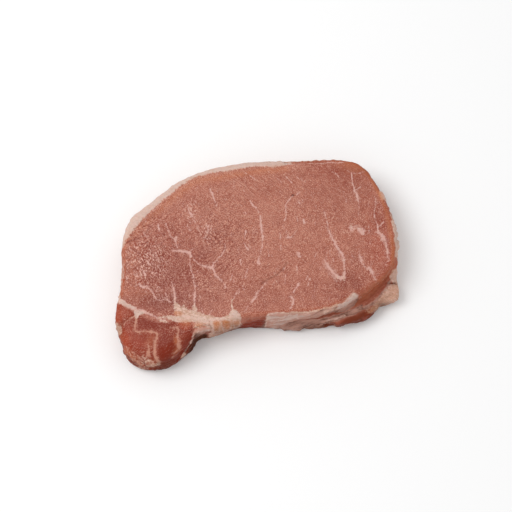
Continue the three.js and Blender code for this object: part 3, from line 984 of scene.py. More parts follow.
FRONT.add(Patch, WARM,
    ("warm lean of the right wall", (348, 307, 358.5, 296, 368, 288, 378, 279, 388, 270, 394, 261, 397, 266,
        388, 279, 375, 294, 360, 304), 0.45, 3),
    ("lean of the lower layer, warm", (322, 332, 330, 324, 338, 322, 345, 319, 356, 316, 367, 311, 380, 306,
        384, 308, 370, 322, 340, 334), 0.45, 2.4),
    ("tan of the small lump", (389.5, 277, 393.5, 269.5, 402, 268, 402, 283, 391.5, 281.6), 0.2, 3),
    ("tan of the flap", (371, 303, 385, 292, 392, 284, 404, 284, 405, 312, 371, 314), 0.3, 3),
)
# a painted highlight on the brown wall
FRONT.add(Stroke, VEIN, ("glint of the brown wall", (361, 297, 357.6, 301), 1, 0.55))
FRONT.add(Patch, CREASE,
    ("shade of the lower layer", (322, 332, 329, 323.6, 338, 321.4, 345, 318.4, 354, 314.8, 362, 312,
        360, 326, 340, 334), 0.45, 2.4),
    ("shade of the tan end", (361, 311, 367, 307, 376, 302.6, 382, 305, 377, 312, 369, 316,
        362, 316), 0.36, 3.4),
)
FRONT.add(Patch, FAT,
    ("tan end of the lower layer", (366, 312, 371, 307.6, 377, 303.6, 380, 307, 375, 311.4,
        370, 313), 0.8, 4),
    ("flap of fat", (378, 300, 384, 292, 389.6, 284.6, 397, 284.6, 403, 296, 401, 308, 385, 310, 371, 311,
        374, 304), 1, 1.6),
    ("small lump of fat", (389.5, 277, 393.5, 269.5, 402, 268, 402, 283, 396.5, 282.6,
        391.5, 281.6), 1, 1.4),
)
FRONT.add(Blush, PALE, ("white of the small lump", (398, 275), (7, 8)))
FRONT.add(Stroke, RAISED,
    ("ridge of the strip", (270, 316, 300, 315, 324, 311.5, 340, 306, 353, 297), 2, 0.25, 4),
    ("foot of the strip", (284, 327, 291, 327, 299, 327), 5, 1.2, 4),
    ("swell of the lower layer", (337, 323, 349, 319.5, 361, 315), 5, 1.2, 4),
)
FRONT.add(Stroke, SUNK,
    ("groove under the strip", (289, 324, 314, 318.6, 336, 312.6, 350, 305, 358, 298), 0.8, 0.35, 3),
    ("groove in the grey wall", (300, 325, 320, 321.5, 342, 317, 356, 311), 0.8, 0.3, 3),
    ("gap of the flap", (389, 283.4, 395, 283, 400, 284), 1.4, 1.6, 3.4),
    ("hollow of the foot", (308, 327.5, 317, 327.5, 327, 326.5), 5, 1, 4),
    ("wrinkle of the flap 1", (378, 302, 385, 298.5, 392, 293), 0.6, 0.3, 3),
    ("wrinkle of the flap 2", (381, 306, 389, 303.5, 396, 302), 0.6, 0.3, 3),
)
FRONT.add(Blush, RAISED, ("flap", (394, 296), (5, 7), 0.6))

EYE = Region("eye")
EYE.add(Stroke, VEIN,
    ("vein 1, tip", (243, 190, 246.5, 195, 250.5, 201), 0.8, 0.5, 1.3, 2, 1),
    ("vein 1, bright", (251, 202, 253.2, 205.6, 256.4, 208.4), 1.9, 0.95, 1.4, 0, 1.4),
    ("vein 1, top", (256.4, 208.4, 258.4, 212.5, 260.5, 217), 0.9, 0.6, 1.3, 2, 1.3),
    ("vein 1", (260.5, 217, 261, 224, 261.8, 232, 262.8, 240), 1.4, 0.9, 1.4, 5, 1.4, 0.3),
    ("vein 1, foot", (262.8, 239, 261.8, 247, 261.2, 254), 1.4, 0.8, 1.3, 2, 0.8),
    ("vein 1, end", (259.3, 256.5, 258.4, 263), 1.2, 0.75, 1.8, 0, 4),
    ("vein 2, top", (190.6, 257, 189.4, 253.4, 185, 251.6, 179, 250.6,
        173, 250.8), 1.8, 0.95, 1.6, 2, 1.5, 0.3),
    ("vein 2, upper", (190.4, 256, 190.2, 265, 190.9, 271, 192.6, 276), 1, 0.65, 1.3, 3, 1.2, 0.1),
    ("vein 2", (192.6, 275, 194.3, 283, 195.4, 290, 194.6, 298, 194, 306), 1.2, 0.75, 1.4, 7, 1.8, 0.25),
    ("vein 2, spike", (188.8, 252.6, 191, 250.6, 194, 248.4), 1.5, 0.7, 1.4, 0, 0.7),
    ("vein 3, left", (193.5, 259.5, 200, 264.3, 207, 266.6, 212, 266.8), 1, 0.85, 1.2, 2, 1.8),
    ("vein 3, knot", (208, 267, 211.6, 267.6, 213.6, 264), 2.4, 0.9, 1.8, 0, 1.4, 0.3),
    ("vein 3, right", (212, 267, 213.8, 271, 216.5, 276, 220.5, 280, 224.5, 284,
        226.5, 288.5), 1.7, 0.9, 1.4, 5, 0.8, 0.3),
    ("vein 4", (213.7, 263.3, 216.7, 260.8, 218.3, 257.5, 221.7, 255, 225, 248.3,
        225.4, 242.5), 1.2, 0.75, 1.4, 3, 0.8),
    ("vein 5, top", (166, 223, 167.5, 229, 170, 235, 173, 238.5), 1, 0.7, 1.4, 0, 1.4),
    ("vein 5, knot", (173, 238, 176, 240, 176.4, 237), 1.4, 0.75, 1.6),
    ("vein 5", (175, 240, 176.4, 245, 178, 249.5), 1.5, 0.7, 1.4, 2, 0.9, 0.3),
    ("streak, upper left", (210.4, 189, 212.6, 195, 217, 206), 1.8, 0.8, 1.3, 2, 0.8),
    ("tick, upper left", (217.6, 174, 220, 178.5), 1, 0.5, 1.3, 0, 0.7),
    ("streak, left, bright", (187.6, 205, 189.5, 211, 192.3, 216), 1, 0.8, 1.3, 3, 2, 0.3),
    ("streak, left, lower", (193.5, 219, 198.8, 230.5), 1.1, 0.7, 1.4, 0, 0.8),
    ("streak, left 2", (187, 225.4, 190.6, 231), 1.6, 0.6, 1.6),
    ("streak, left 3", (158, 224.5, 159.6, 231), 1.4, 0.8),
    ("streak, left 4", (143.5, 232, 148, 239), 1.5, 0.7, 1.5, 0, 0.9),
    ("streak, left 5", (155, 250, 157, 257, 160.5, 269), 1.1, 0.6, 1.6, 4),
    ("smear, left", (208, 226, 207.4, 232, 205, 238), 1.8, 0.75, 1.8, 5, 1, 0.3),
    ("streak, middle 1", (243.5, 243, 248.4, 249.6), 1.4, 0.85, 1.5, 2),
    ("streak, middle 1, right", (248.4, 244.6, 251.4, 249), 1.2, 0.8),
    ("streak, middle 2", (245.8, 231, 244.6, 239), 1.8, 0.75, 1.5, 0, 0.8),
    ("smear, middle", (247, 269, 245.6, 277), 2, 0.65, 2, 2, 1.2),
    ("fleck, middle 1", (232.5, 275, 230.2, 280.5), 1.6, 0.65, 1.6),
    ("fleck, middle 2", (240.6, 259.6, 240.9, 264.4), 1.3, 0.75),
    ("fleck, middle 3", (268, 250, 268.6, 257.4), 1, 0.65),
    ("fleck, middle 4", (230.6, 260.6, 230.4, 264.4), 1.1, 0.6),
    ("fleck, middle 5", (285, 275.6, 285.5, 283), 1.2, 0.6, 1.6),
    ("fleck, middle 6", (271.4, 215, 271, 220), 1, 0.5, 1.6),
    ("fleck, middle 7", (257.6, 230, 257, 235), 1, 0.4, 1.6),
    ("vein 8, top", (324.3, 210, 326.2, 219, 329.2, 232), 0.9, 0.6, 1.5, 4, 1.9),
    ("vein 8", (329.2, 232, 333, 240, 336.5, 247, 341.5, 253, 344, 261), 1.7, 0.85, 1.7, 9, 2.1, 0.4, 4),
    ("vein 8, lower", (344, 259, 344.2, 270, 344.7, 277.5), 1.8, 0.9, 1.5, 4, 2.2, 0.3),
    ("vein 8, left arm", (324.3, 260, 326.6, 263.8, 330, 268.6, 333.6, 272.8,
        337.6, 276), 1.5, 1, 1.5, 5, 2.4, 0.4),
    ("vein 8, broad foot", (336.4, 276, 340.4, 278, 344, 277), 3.8, 0.85, 2.6, 5),
    ("vein 8, tooth 3", (340.6, 279, 340, 284), 1.2, 0.5, 1.6, 0, 0.6),
    ("vein 9, top", (299.8, 192, 296, 195.6), 1.8, 0.75, 1.4, 0, 1.2),
    ("vein 9", (292, 196, 289.5, 199.5, 285.8, 204.5, 286.4, 213), 0.9, 0.75, 1.3, 3, 1.2),
    ("vein 9, end", (286.6, 214.5, 284, 220.5), 1.4, 0.85),
    ("streak, right of vein 9", (296.5, 196, 301.5, 203.5, 302.5, 210), 1, 0.35, 1.6),
    ("streak, far middle", (306.5, 192.5, 312.4, 196.5, 314.4, 205.4, 318.3, 212), 1, 0.35, 1.6, 2),
    ("spot, far middle", (304, 219.8, 304.6, 223), 1.8, 0.95, 1.3),
    ("vein 10, across", (347, 170.3, 351, 172.8, 358, 173.6, 364, 171.3), 1, 0.55, 1.3),
    ("vein 10, down", (360.5, 173, 361.4, 179.5), 0.9, 0.5, 1.3),
    ("vein 10, top", (351.2, 173.4, 352.2, 180, 353.3, 186, 354.6, 190.8), 1.3, 0.85, 1.3, 2, 1.5),
    ("vein 10, thick", (354.6, 190.8, 357, 194.6, 358.2, 201), 1.8, 0.9, 1.4, 3, 2.2, 0.3),
    ("vein 10, foot", (358.4, 201, 358.9, 210, 357.8, 218), 1.5, 0.5, 1.8, 2, 0.9),
    ("vein 10, branch", (354.8, 190.6, 360.5, 187), 1, 0.6, 1.3),
    ("streak, upper right", (331, 170.5, 336, 174, 339, 177), 1, 0.8),
    ("cut streak 1", (243.6, 171.4, 249, 175, 254.4, 179.6), 0.9, 0.7, 1.3),
    ("cut streak 2", (286, 176.4, 289, 180, 291.6, 182.6), 1, 0.8, 1.3),
    ("cut streak 3", (296, 176, 302, 179.6, 307, 182.4), 0.9, 0.55, 1.3),
    ("cut streak 4", (268, 171, 275, 176.4, 282, 183), 0.9, 0.5, 1.3),
    ("curl, upper right", (342, 196, 346.5, 197.8, 350, 193.8), 0.9, 0.4, 1.4, 2),
    ("vein 11, top", (374.6, 196, 375.6, 201.5, 374.6, 209.4, 374.6, 216, 376.6, 222), 1, 0.6, 1.4, 8, 1.4),
    ("vein 11", (376.6, 222, 378, 226, 378.2, 230.6, 380, 233), 1.3, 0.9, 1.4, 3, 1.8),
    ("vein 11, broad", (377.4, 232.6, 382, 235, 385, 239.4, 386.4, 245.4, 386.9, 252,
        387.4, 257), 2.3, 0.9, 2, 8, 1.6, 0.3, 4),
    ("vein 11, hook", (388.6, 257.6, 388.8, 260.6, 385.6, 262.6,
        381.6, 263.4), 1.3, 0.72, 1.6, 2, 0.9, 0.3),
    ("vein 11, branch", (378, 226.4, 380.4, 225.4, 383.4, 222.2), 1.2, 0.85, 1.4, 1),
)
EYE.add(Blush, VEIN,
    ("vein 1, knot", (263, 236.5), (1.6, 2.2), 0.9),
    ("vein 13, knot 1", (361.4, 260.5), (2.6, 2), 0.8),
    ("vein 13, knot 2", (371, 271), (2, 2.6), 0.8),
)
EYE.add(Blush, PALE,
    ("vein 2, tan below the top", (182, 254.5), (9, 2.6), 1, 8),
    ("vein 5, glow", (176.5, 239), (4, 4), 0.7),
    ("vein 8, pale below the arm", (326, 270), (9, 5), 0.4, 45),
    ("blob, right 1, glow", (353, 230), (7, 4), 0.7),
    ("pale upper middle", (222, 214), (15, 24), 0.4),
    ("grey lean, middle left", (213, 276), (16, 30), 0.36),
    ("pale middle", (275, 235), (60, 40), 0.3),
)
EYE.add(Patch, VEIN,
    ("vein 8, glow of the arm", (321, 262, 324.6, 260, 331, 269.4, 338, 277.4, 337, 282, 330, 275.6,
        324, 268), 0.42, 5),
    ("vein 8, light within the bend", (337, 248, 342, 252, 344.6, 259, 342, 262, 338, 256), 0.4, 4),
    ("vein 11, fan", (378, 231, 383, 234, 387, 240, 387.6, 250, 384.6, 247, 380.5, 239), 0.55, 3.4),
    ("blob, right 1", (349, 223.4, 352, 225.4, 356, 225.2, 355.6, 229, 353, 231.6, 350, 230.6), 0.72, 2.4),
    ("blob, right 2", (357, 227, 361, 227.8, 364.6, 230.8, 363.6, 235, 360, 233.6, 357.4, 231), 0.78, 2.4),
    ("blob, right 2, fan", (355, 225, 361, 226, 365, 229, 363.6, 233, 358, 230), 0.5, 3),
    ("blob, middle", (296, 252, 300, 252.5, 301, 257, 298, 256.5), 0.75),
)
EYE.add(Stroke, FAT,
    ("vein 8, tooth 1", (337.8, 276, 337.4, 280.6), 1.4, 0.8, 1.8, 0, 0.8),
    ("vein 8, tooth 2", (343.8, 275, 343.4, 281), 1.5, 0.85, 1.8, 0, 0.8),
    ("vein 8, star", (342.4, 260.4, 345.2, 260), 1.2, 0.75, 1.6),
    ("blob, right 1, white", (351, 223.6, 352, 228), 1.3, 0.8, 1.6, 3),
    ("blob, right 2, white", (358.4, 228.4, 362.6, 232.6), 1.4, 0.7, 1.8, 2),
    ("bright dot", (276.2, 281.2, 276.5, 281.6), 1.3, 0.9, 1),
)
EYE.add(Stroke, DEEP,
    ("dark dot", (292.1, 195.3, 293, 195.3), 2.6, 1, 1),
    ("arc, left 1", (127, 278, 130, 283, 135, 285.5, 143, 285, 146, 281), 1.2, 1, 1.5),
    ("arc, left 2", (175, 277, 180, 283, 187, 283, 191, 280), 1.1, 0.9, 1.5),
    ("arc, left 3", (148, 283, 152, 287, 158, 287.4, 163, 283.6, 165, 280), 1.3, 1, 1.5),
    ("arc, middle left 1", (194, 243, 197, 250, 203, 256, 211, 257), 0.8, 0.55, 1.5),
    ("arc, middle left 2", (199, 240, 203, 248, 210, 252.5), 0.8, 0.5, 1.5),
    ("arc, middle left 3", (197, 270, 205, 274, 212, 274), 0.8, 0.5, 1.5),
)
EYE.add(Stroke, CREASE,
    ("dark dot, middle", (292.1, 195.3, 293, 195.3), 1.6, 0.6, 1),
    # painted shade in the crease
    ("crease, middle", (287, 262, 283, 269, 275.5, 275.5, 268, 279, 261.5, 284), 0.7, 0.55),
)
EYE.add(Patch, PALE,
    ("vein 11, glow", (370, 231, 381, 232, 388, 243, 388.4, 256, 381, 254, 375, 243), 0.45, 5),
)
EYE.add(Stroke, VEIN,
    ("blob, right 1, rays", (346.5, 227, 351.5, 227, 353, 222.5), 1, 0.6, 1.6, 4),
    ("blob, right 3", (368.3, 226.5, 369.6, 233), 1.6, 0.65, 1.8, 2),
    ("vein 13", (360.4, 256.6, 361.6, 261, 364, 266, 367.4, 268.4), 1.6, 0.85, 1.8, 6, 1.2, 0.4),
    ("vein 13, lower", (368.6, 267.4, 370.8, 270, 373.3, 274.6, 375.2, 280), 1.5, 0.9, 1.6, 6, 1.2, 0.35),
    ("tick, right 1", (359, 248.5, 360.6, 257), 1.2, 0.58, 1.6, 1),
    ("tick, right 2", (371.4, 257, 371, 262, 372, 268), 1.2, 0.45, 1.8, 3),
    ("tick, right 3", (326.6, 251, 326.8, 256.5), 1.1, 0.58),
    ("tick, right 4", (330, 250.5, 329.6, 256), 1.1, 0.58),
    ("curl, middle", (296.6, 230.5, 292.6, 236, 286.6, 238), 1.2, 0.58, 2, 3, 2.2),
    ("tick, middle 3", (280.2, 232.5, 280.3, 239), 1.6, 0.58, 1.5, 1),
    ("tick, middle 4", (283.5, 260, 284.8, 266, 284.3, 270), 1.1, 0.58),
    ("tick, middle 5", (316.2, 253.5, 314.4, 258), 1.3, 0.58, 1.6),
    ("tick, middle 6", (296.6, 267.5, 297.6, 273), 1.6, 0.58, 2, 2),
    ("broad streak", (266, 283, 260, 289.6, 257, 293.5), 1.8, 0.5, 2.4, 5, 2.2),
    ("broad streak, bright", (257.4, 293, 255.4, 297.4, 251.6, 302), 2.6, 0.8, 1.8, 4, 1.6, 0.3),
    ("broad streak, end", (252, 302, 244, 311.5), 2.6, 0.35, 3, 5),
    ("streak, lower 1", (298.5, 284, 296, 288.5, 293.5, 292.5), 2.4, 0.9, 1.6, 2, 0.9, 0.3),
    ("streak, lower 2", (291, 296.5, 293.2, 302, 290, 310), 2.6, 0.8, 1.8, 3, 0.9, 0.3),
    ("streak, lower 3", (309.8, 279, 308.3, 285.5), 1.8, 0.75, 1.4, 0, 0.8),
    ("streak, lower 4", (314.5, 287, 313.8, 292), 1.3, 0.4, 1.6, 1),
    # painted highlights on the wet lean, left
    ("glint, left 1", (147, 260.5, 149.5, 265), 1.8, 0.75),
    ("glint, left 2", (142.5, 270, 145.5, 275), 1.8, 0.8),
    ("glint, left 3", (138.5, 258.5, 141, 262), 1.3, 0.65),
    ("glint, left 4", (130, 248, 131.5, 250.5), 1.4, 0.6),
    ("glint, left 5", (133.5, 243, 135.5, 247.5), 1.2, 0.6),
    ("glint, left 6", (136, 273, 138.5, 277), 1.3, 0.6),
    ("glint, left 7", (152, 272, 154.5, 277), 1.2, 0.5),
    ("glint, left 8", (160.5, 256, 163, 260.5), 1.2, 0.5),
    ("net, left 1", (127, 277, 128.6, 283), 1.4, 0.75, 1.5),
    ("net, left 2", (139, 284, 142, 287, 147, 287, 151, 290.2), 1.8, 0.75, 1.8, 5, 1.2, 0.3),
    ("net, left 3", (151, 290.2, 154, 295, 157, 298.6, 161, 300, 165, 299, 171.5, 302.5), 1.4, 0.8, 1.8, 6),
    ("net, left 4", (158, 287, 156, 292), 1.3, 0.65, 1.5, 1),
    ("net, left 5", (171.4, 282, 174.2, 292, 175.2, 303), 1.2, 0.75, 1.4, 3, 2.2, 0.3),
    ("net, left 6", (165.8, 293, 168.8, 301.5), 1.5, 0.65, 1.5, 2),
    ("net, seam 1", (238, 290, 233.4, 299), 1, 0.55, 1.4, 2, 1.6),
    ("net, seam 2", (239.9, 289, 238.5, 294), 1.3, 0.55),
    ("net, seam 3", (224, 294.5, 227, 298.8, 231.5, 299.5), 1, 0.4, 1.5, 1),
    ("speckles, right", (375.5, 199, 377, 204), 2.2, 0.35, 3, 5),
)
EYE.add(Stroke, PALE, ("pale smear, right", (350, 196, 352, 205, 347, 216), 6, 0.7, 8))
EYE.add(Stroke, SUNK,
    ("crease, middle", (287, 262, 283, 269, 275.5, 275.5, 268, 279, 261.5, 284), 0.6, 0.25, 3),
)
EYE.add(Blush, DEEP,
    ("top right", (345, 192), (40, 28), 0.3),
    ("shade along the right rim, upper", (379, 219), (10, 17), 0.56, -12),
    ("shade along the right rim, lower", (383, 270), (9, 10), 0.34),
    ("shade above the seam", (166, 301), (40, 13)),
    ("shade of the left lean", (156, 266), (26, 22), 0.7),
    ("shade by the right rim", (386, 243), (5, 14), 0.4),
    ("shade above the strip", (338, 297), (11, 6), 0.45),
    ("shade in the lower middle, right", (278, 297), (11, 9), 0.3),
    ("shade by the spike", (197, 297), (9, 9), 0.5),
    ("shade in the lower middle", (256, 293), (28, 18), 0.24),
    ("shade at the lower right", (347, 283), (20, 12), 0.75),
    ("right", (370, 262), (16, 40), 0.16),
    ("shade right of vein 8", (353, 260), (8, 15), 0.36),
    ("shade below the blobs", (366, 228), (9, 10), 0.3),
    ("lower left of the eye", (167, 276), (40, 28), 0.7),
    ("left of the eye", (166, 250), (40, 34), 0.2),
    ("shade, lower right", (330, 286), (46, 18), 0.22),
    ("shade, far right", (344, 174), (30, 14), 0.55),
)
EYE.add(Blush, RED,
    ("red top right", (346, 172), (28, 9), 0.4, 6),
    ("red, far left", (137, 280), (20, 24)),
    ("red right of the eye", (383, 236), (14, 44), 0.6),
    ("red left of the eye", (150, 268), (46, 40), 0.6),
)
EYE.add(Blush, WARM,
    ("warm, far left", (133, 277), (11, 28), 0.5),
    ("warm, lower left", (141, 295), (15, 9), 0.6),
)
EYE.add(Blush, FIBRE,
    ("coarse fibre, left", (158, 258), (42, 42)),
    ("coarse fibre, lower left", (195, 285), (40, 24), 0.7),
    ("coarse fibre, middle left", (218, 246), (36, 36), 0.7),
)
# where painted highlights lie on the wet lean
EYE.add(Blush, GLINT,
    ("glints, left", (145, 262), (24, 26)),
    ("glints, upper left", (190, 213), (9, 12), 0.8),
    ("glints, middle left", (206, 232), (8, 14), 0.8),
    ("glints, lower left", (158, 294), (22, 9), 0.45),
)
EYE.add(Blush, RIPPLE,
    ("ripples 1", (214, 238), (9, 8)),
    ("ripples 2", (202, 257), (10, 8)),
    ("ripples 3", (221, 270), (8, 6), 0.7),
)
EYE.add(Blush, STREAK,
    ("cut streaks, far side", (262, 186), (52, 26)),
    ("cut streaks, far right", (334, 186), (40, 24), 0.6),
)
REGIONS = (CAP, TAIL_FLESH, SEAM, FRONT, EYE)


class MarkMap:
    """How much of each kind of mark each vertex of the chop holds."""

    def __init__(self, pixels: Field, shown: Field | float = 1.0, wobble: Field | float = 1.0) -> None:
        """Starts with plain flat lean.

        Args:
            pixels: pixel of the photograph on which each vertex falls.
            shown: 1 where the mark at that pixel belongs to the vertex, and 0 where it is out of sight.
            wobble: how many times stronger than drawn the veins are at each vertex.
        """
        self.pixels = pixels
        self.shown = shown
        self.wobble = wobble
        self.shares: dict[Kind, Field] = {kind: np.zeros(len(pixels)) for kind in (*Tissue, *Shape)}

    def add(self, marks: list[Mark], rng: np.random.Generator) -> None:
        """Lays some marks on, with their side branches, each where it is stronger than what is there."""
        for mark in marks:
            for part in (mark, *mark.branches(rng)):
                cover = part.cover(self.pixels) * self.shown
                if part.kind is VEIN:
                    cover *= self.wobble
                self.raise_to(part.kind, cover)

    def raise_to(self, kind: Kind, level: Field) -> None:
        """Raises the share of a kind to a level where it is lower."""
        self.shares[kind] = np.maximum(self.shares[kind], level)


@dataclass(frozen=True)
class Flecks:
    """Small flecks of marbling strewn over the eye, mostly upright in the picture."""

    seed: int = 11
    count: int = 220
    left: float = 135.0
    right: float = 385.0
    far: float = 185.0
    near: float = 305.0
    lean: float = 22.0  # degrees, the spread of a normal draw
    length: Pair = (1.5, 6.0)
    width: Pair = (0.7, 1.6)
    strength: Pair = (0.2, 0.55)
    edge: float = 1.5

    def marks(self) -> list[Mark]:
        """The flecks, drawn from the seed."""
        rng = np.random.default_rng(self.seed)
        made: list[Mark] = []
        for number in range(self.count):
            x = rng.uniform(self.left, self.right)
            y = rng.uniform(self.far, self.near)
            lean = math.radians(rng.normal(0.0, self.lean))
            half = 0.5 * rng.uniform(*self.length)
            step = (half * math.sin(lean), half * math.cos(lean))
            path = (x - step[0], y - step[1], x + step[0], y + step[1])
            width = rng.uniform(*self.width)
            strength = rng.uniform(*self.strength)
            made.append(Stroke(VEIN, f"fleck {number}", path, width, strength, self.edge))
        return made


@dataclass(frozen=True)
class PorkFinish:
    """The colours, as 0 to 255, painted shade and highlights among them, and the gloss of raw pork."""

    lean: Colour = (172, 102, 82)
    # darker lean, also painted shade on shaded walls and at the foot
    lean_deep: Colour = (122, 42, 26)
    lean_pale: Colour = (196, 135, 113)
    lean_warm: Colour = (188, 112, 76)
    lean_tail: Colour = (130, 52, 38)
    lean_red: Colour = (168, 72, 50)
    # pale specks of the grain, partly painted wet sheen
    speck: Colour = (212, 160, 140)
    # painted highlights of the wet lean, and the white specks of the fat
    glint: Colour = (232, 188, 172)
    vein: Colour = (206, 159, 147)
    vein_tail: Colour = (190, 134, 114)
    fat: Colour = (211, 180, 164)
    fat_shade: Colour = (178, 130, 104)
    fat_warm: Colour = (184, 112, 66)
    fat_pale: Colour = (206, 179, 168)
    silver: Colour = (186, 140, 125)
    silver_shade: Colour = (122, 82, 68)
    # dark crease lines and painted shade in creases, undercuts, gaps and at the foot
    crease: Colour = (82, 40, 22)
    roughness: float = 0.36
    fat_roughness: float = 0.42
    silver_roughness: float = 0.3
    gloss: float = 0.26
    side_gloss: float = 0.04
    coat: float = 0.15
    side_coat: float = 0.0
    coat_roughness: float = 0.2
    scatter: float = 0.08
    scatter_reach: Triple = (1.0, 0.35, 0.2)
    scatter_scale: float = 0.0012
    bump: float = 0.8
    bump_height: float = 0.00028
    ring_centre: Pair = (-0.0227, 0.0036)  # metres in plan, where the cut left rings
    ring_step: float = 0.0016

    def material(self) -> bpy.types.Material:
        """Builds the material."""
        return PorkShader(self).build()


@dataclass(frozen=True)
class Grain:
    """A colour laid on in grains: more of it as the pattern goes from start to full, up to strength."""

    colour: Colour
    where: Socket  # share of the meat that can have it
    pattern: Socket
    start: float
    full: float
    strength: float


class PorkShader:
    """Builds the node tree of raw pork from its finish and the tissue shares on the mesh."""

    def __init__(self, finish: PorkFinish) -> None:
        """Starts the tree with the patterns that several tissues share, and the tissues they read."""
        self.finish = finish
        self.made = bpy.data.materials.new("raw_pork")
        self.made.use_nodes = True
        self.tree = self.made.node_tree
        self.tree.nodes.clear()
        self.place = self.tree.nodes.new("ShaderNodeTexCoord").outputs["Object"]
        self.fibre = self.share(FIBRE)
        self.side = self.share(Tissue.SIDE)
        self.tail = self.share(TAIL)
        self.pale = self.share(PALE)
        self.warm = self.share(WARM)
        self.deep = self.share(DEEP)
        self.patches = self.noise(scale=150.0, detail=3.0)
        self.ragged = self.noise(scale=1000.0, detail=3.0)
        self.middling = self.noise(scale=1500.0, detail=1.0, distortion=0.4)
        self.fine = self.noise(scale=2700.0, detail=1.0)
        self.grain = self.sum((self.middling, 0.12), (self.fine, 0.88))
        self.coarse = self.strands(-52.0, (0.0022, 0.0007, 0.001), distortion=0.7)
        self.threads = self.strands(42.0, (0.0022, 0.0004, 0.001), distortion=0.5)
        self.layers = self.strands(8.0, (0.009, 0.002, 0.0018), tilt=-16.0, detail=3.0, distortion=0.4)
        self.borders = self.cells(36.0, (0.0046, 0.0013, 0.0024))

    def node(self, kind: str, values: dict[str, Any], place: Socket | None = None) -> bpy.types.Node:
        """A new node with the values of its inputs, and the place that it reads, if any."""
        made = self.tree.nodes.new(kind)
        for name, value in values.items():
            made.inputs[name].default_value = value
        if place is not None:
            self.link(place, made.inputs["Vector"])
        return made

    def link(self, source: Socket, target: Socket) -> None:
        """Joins two sockets."""
        self.tree.links.new(source, target)

    def share(self, tissue: Tissue) -> Socket:
        """The mesh's share of a tissue."""
        node = self.tree.nodes.new("ShaderNodeAttribute")
        node.attribute_name = tissue.value
        return node.outputs["Fac"]

    def noise(
        self, scale: float, detail: float = 2.0, place: Socket | None = None, distortion: float = 0.0
    ) -> Socket:
        """Smooth noise, scale features to a metre, or to a step of the given place."""
        values = {"Scale": scale, "Detail": detail, "Distortion": distortion}
        return self.node("ShaderNodeTexNoise", values, place or self.place).outputs["Fac"]

    def steps(self, turn: float, size: Triple, tilt: float = 0.0) -> Socket:
        """The place in steps of some size, along a direction turned from +X.

        Args:
            turn: the direction in plan, in degrees.
            size: length, width and height of a step in metres.
            tilt: how far the steps fall along their direction, in degrees.
        """
        values = {"Rotation": (0.0, math.radians(tilt), math.radians(turn)), "Scale": size}
        node = self.node("ShaderNodeMapping", values, self.place)
        node.vector_type = "TEXTURE"
        return node.outputs["Vector"]

    def strands(
        self, turn: float, size: Triple, tilt: float = 0.0, detail: float = 2.0, distortion: float = 0.0
    ) -> Socket:
        """Noise drawn out into strands, turn degrees from +X and size long, wide and high."""
        return self.noise(1.0, detail, self.steps(turn, size, tilt), distortion)

    def cells(self, turn: float, size: Triple) -> Socket:
        """Distance to the border between long cells, turn degrees from +X and size long, wide and high."""
        node = self.node("ShaderNodeTexVoronoi", {"Scale": 1.0}, self.steps(turn, size))
        node.feature = "DISTANCE_TO_EDGE"
        return node.outputs["Distance"]

    def rings(self, centre: Pair, step: float) -> Socket:
        """Wavering rings round an upright line: a wave of the distance from it, shifted by noise.

        Args:
            centre: where the line stands in plan, in metres.
            step: distance from ring to ring, in metres.
        """
        moved = self.node("ShaderNodeMapping", {"Location": (-centre[0], -centre[1], 0.0)}, self.place)
        scale = math.tau / 20.0 / step  # the node's waves are tau over 20 long at scale 1
        values = {"Scale": scale, "Distortion": 7.0, "Detail": 2.0}
        node = self.node("ShaderNodeTexWave", values, moved.outputs["Vector"])
        node.wave_type = "RINGS"
        node.rings_direction = "Z"
        return node.outputs["Fac"]

    def span(self, value: Socket, low: float, high: float, start: float = 0.0, end: float = 1.0) -> Socket:
        """A smooth step of value from low to high, on to start to end."""
        values = {"From Min": low, "From Max": high, "To Min": start, "To Max": end}
        node = self.node("ShaderNodeMapRange", values)
        node.interpolation_type = "SMOOTHSTEP"
        self.link(value, node.inputs["Value"])
        return node.outputs["Result"]

    def sum(self, *terms: tuple[Socket, float]) -> Socket:
        """The sum of values, each times its weight."""
        total: Socket | None = None
        for value, weight in terms:
            node = self.tree.nodes.new("ShaderNodeMath")
            node.operation = "MULTIPLY_ADD"
            node.inputs[1].default_value = weight
            node.inputs[2].default_value = 0.0
            self.link(value, node.inputs[0])
            if total is not None:
                self.link(total, node.inputs[2])
            total = node.outputs[0]
        assert total is not None
        return total

    def times(self, a: Socket, b: Socket) -> Socket:
        """The product of two values."""
        node = self.tree.nodes.new("ShaderNodeMath")
        node.operation = "MULTIPLY"
        self.link(a, node.inputs[0])
        self.link(b, node.inputs[1])
        return node.outputs[0]

    def over(self, under: Socket | Colour, colour: Socket | Colour, share: Socket) -> Socket:
        """A colour laid over another by its share."""
        node = self.tree.nodes.new("ShaderNodeMix")
        node.data_type = "RGBA"
        self.link(share, node.inputs["Factor"])
        for value, socket in ((under, node.inputs[6]), (colour, node.inputs[7])):
            if isinstance(value, tuple):
                socket.default_value = linear(value)
            else:
                self.link(value, socket)
        return node.outputs[2]

    def grained(self, under: Socket, *grains: Grain) -> Socket:
        """A colour with some grains laid over it in turn."""
        for grain in grains:
            spread = self.span(grain.pattern, grain.start, grain.full, 0.0, grain.strength)
            under = self.over(under, grain.colour, self.times(grain.where, spread))
        return under

    def lean(self) -> Socket:
        """Colour of the lean: its tones and painted shade, patches and specks, the specks partly painted wet
        sheen, the painted glints, and what fibre, cuts and tail add.
        """
        finish = self.finish
        streak = self.share(STREAK)
        mottle = self.noise(scale=420.0)
        glints = self.strands(-58.0, (0.0012, 0.00045, 0.0006), detail=0.0)
        cuts = self.strands(-38.0, (0.006, 0.00035, 0.001))
        rings = self.rings(finish.ring_centre, finish.ring_step)
        colour = self.over(finish.lean, finish.lean_pale, self.sum((self.pale, 0.7)))
        colour = self.over(colour, finish.lean_tail, self.tail)
        colour = self.over(colour, finish.lean_red, self.share(RED))
        colour = self.over(colour, finish.lean_warm, self.warm)
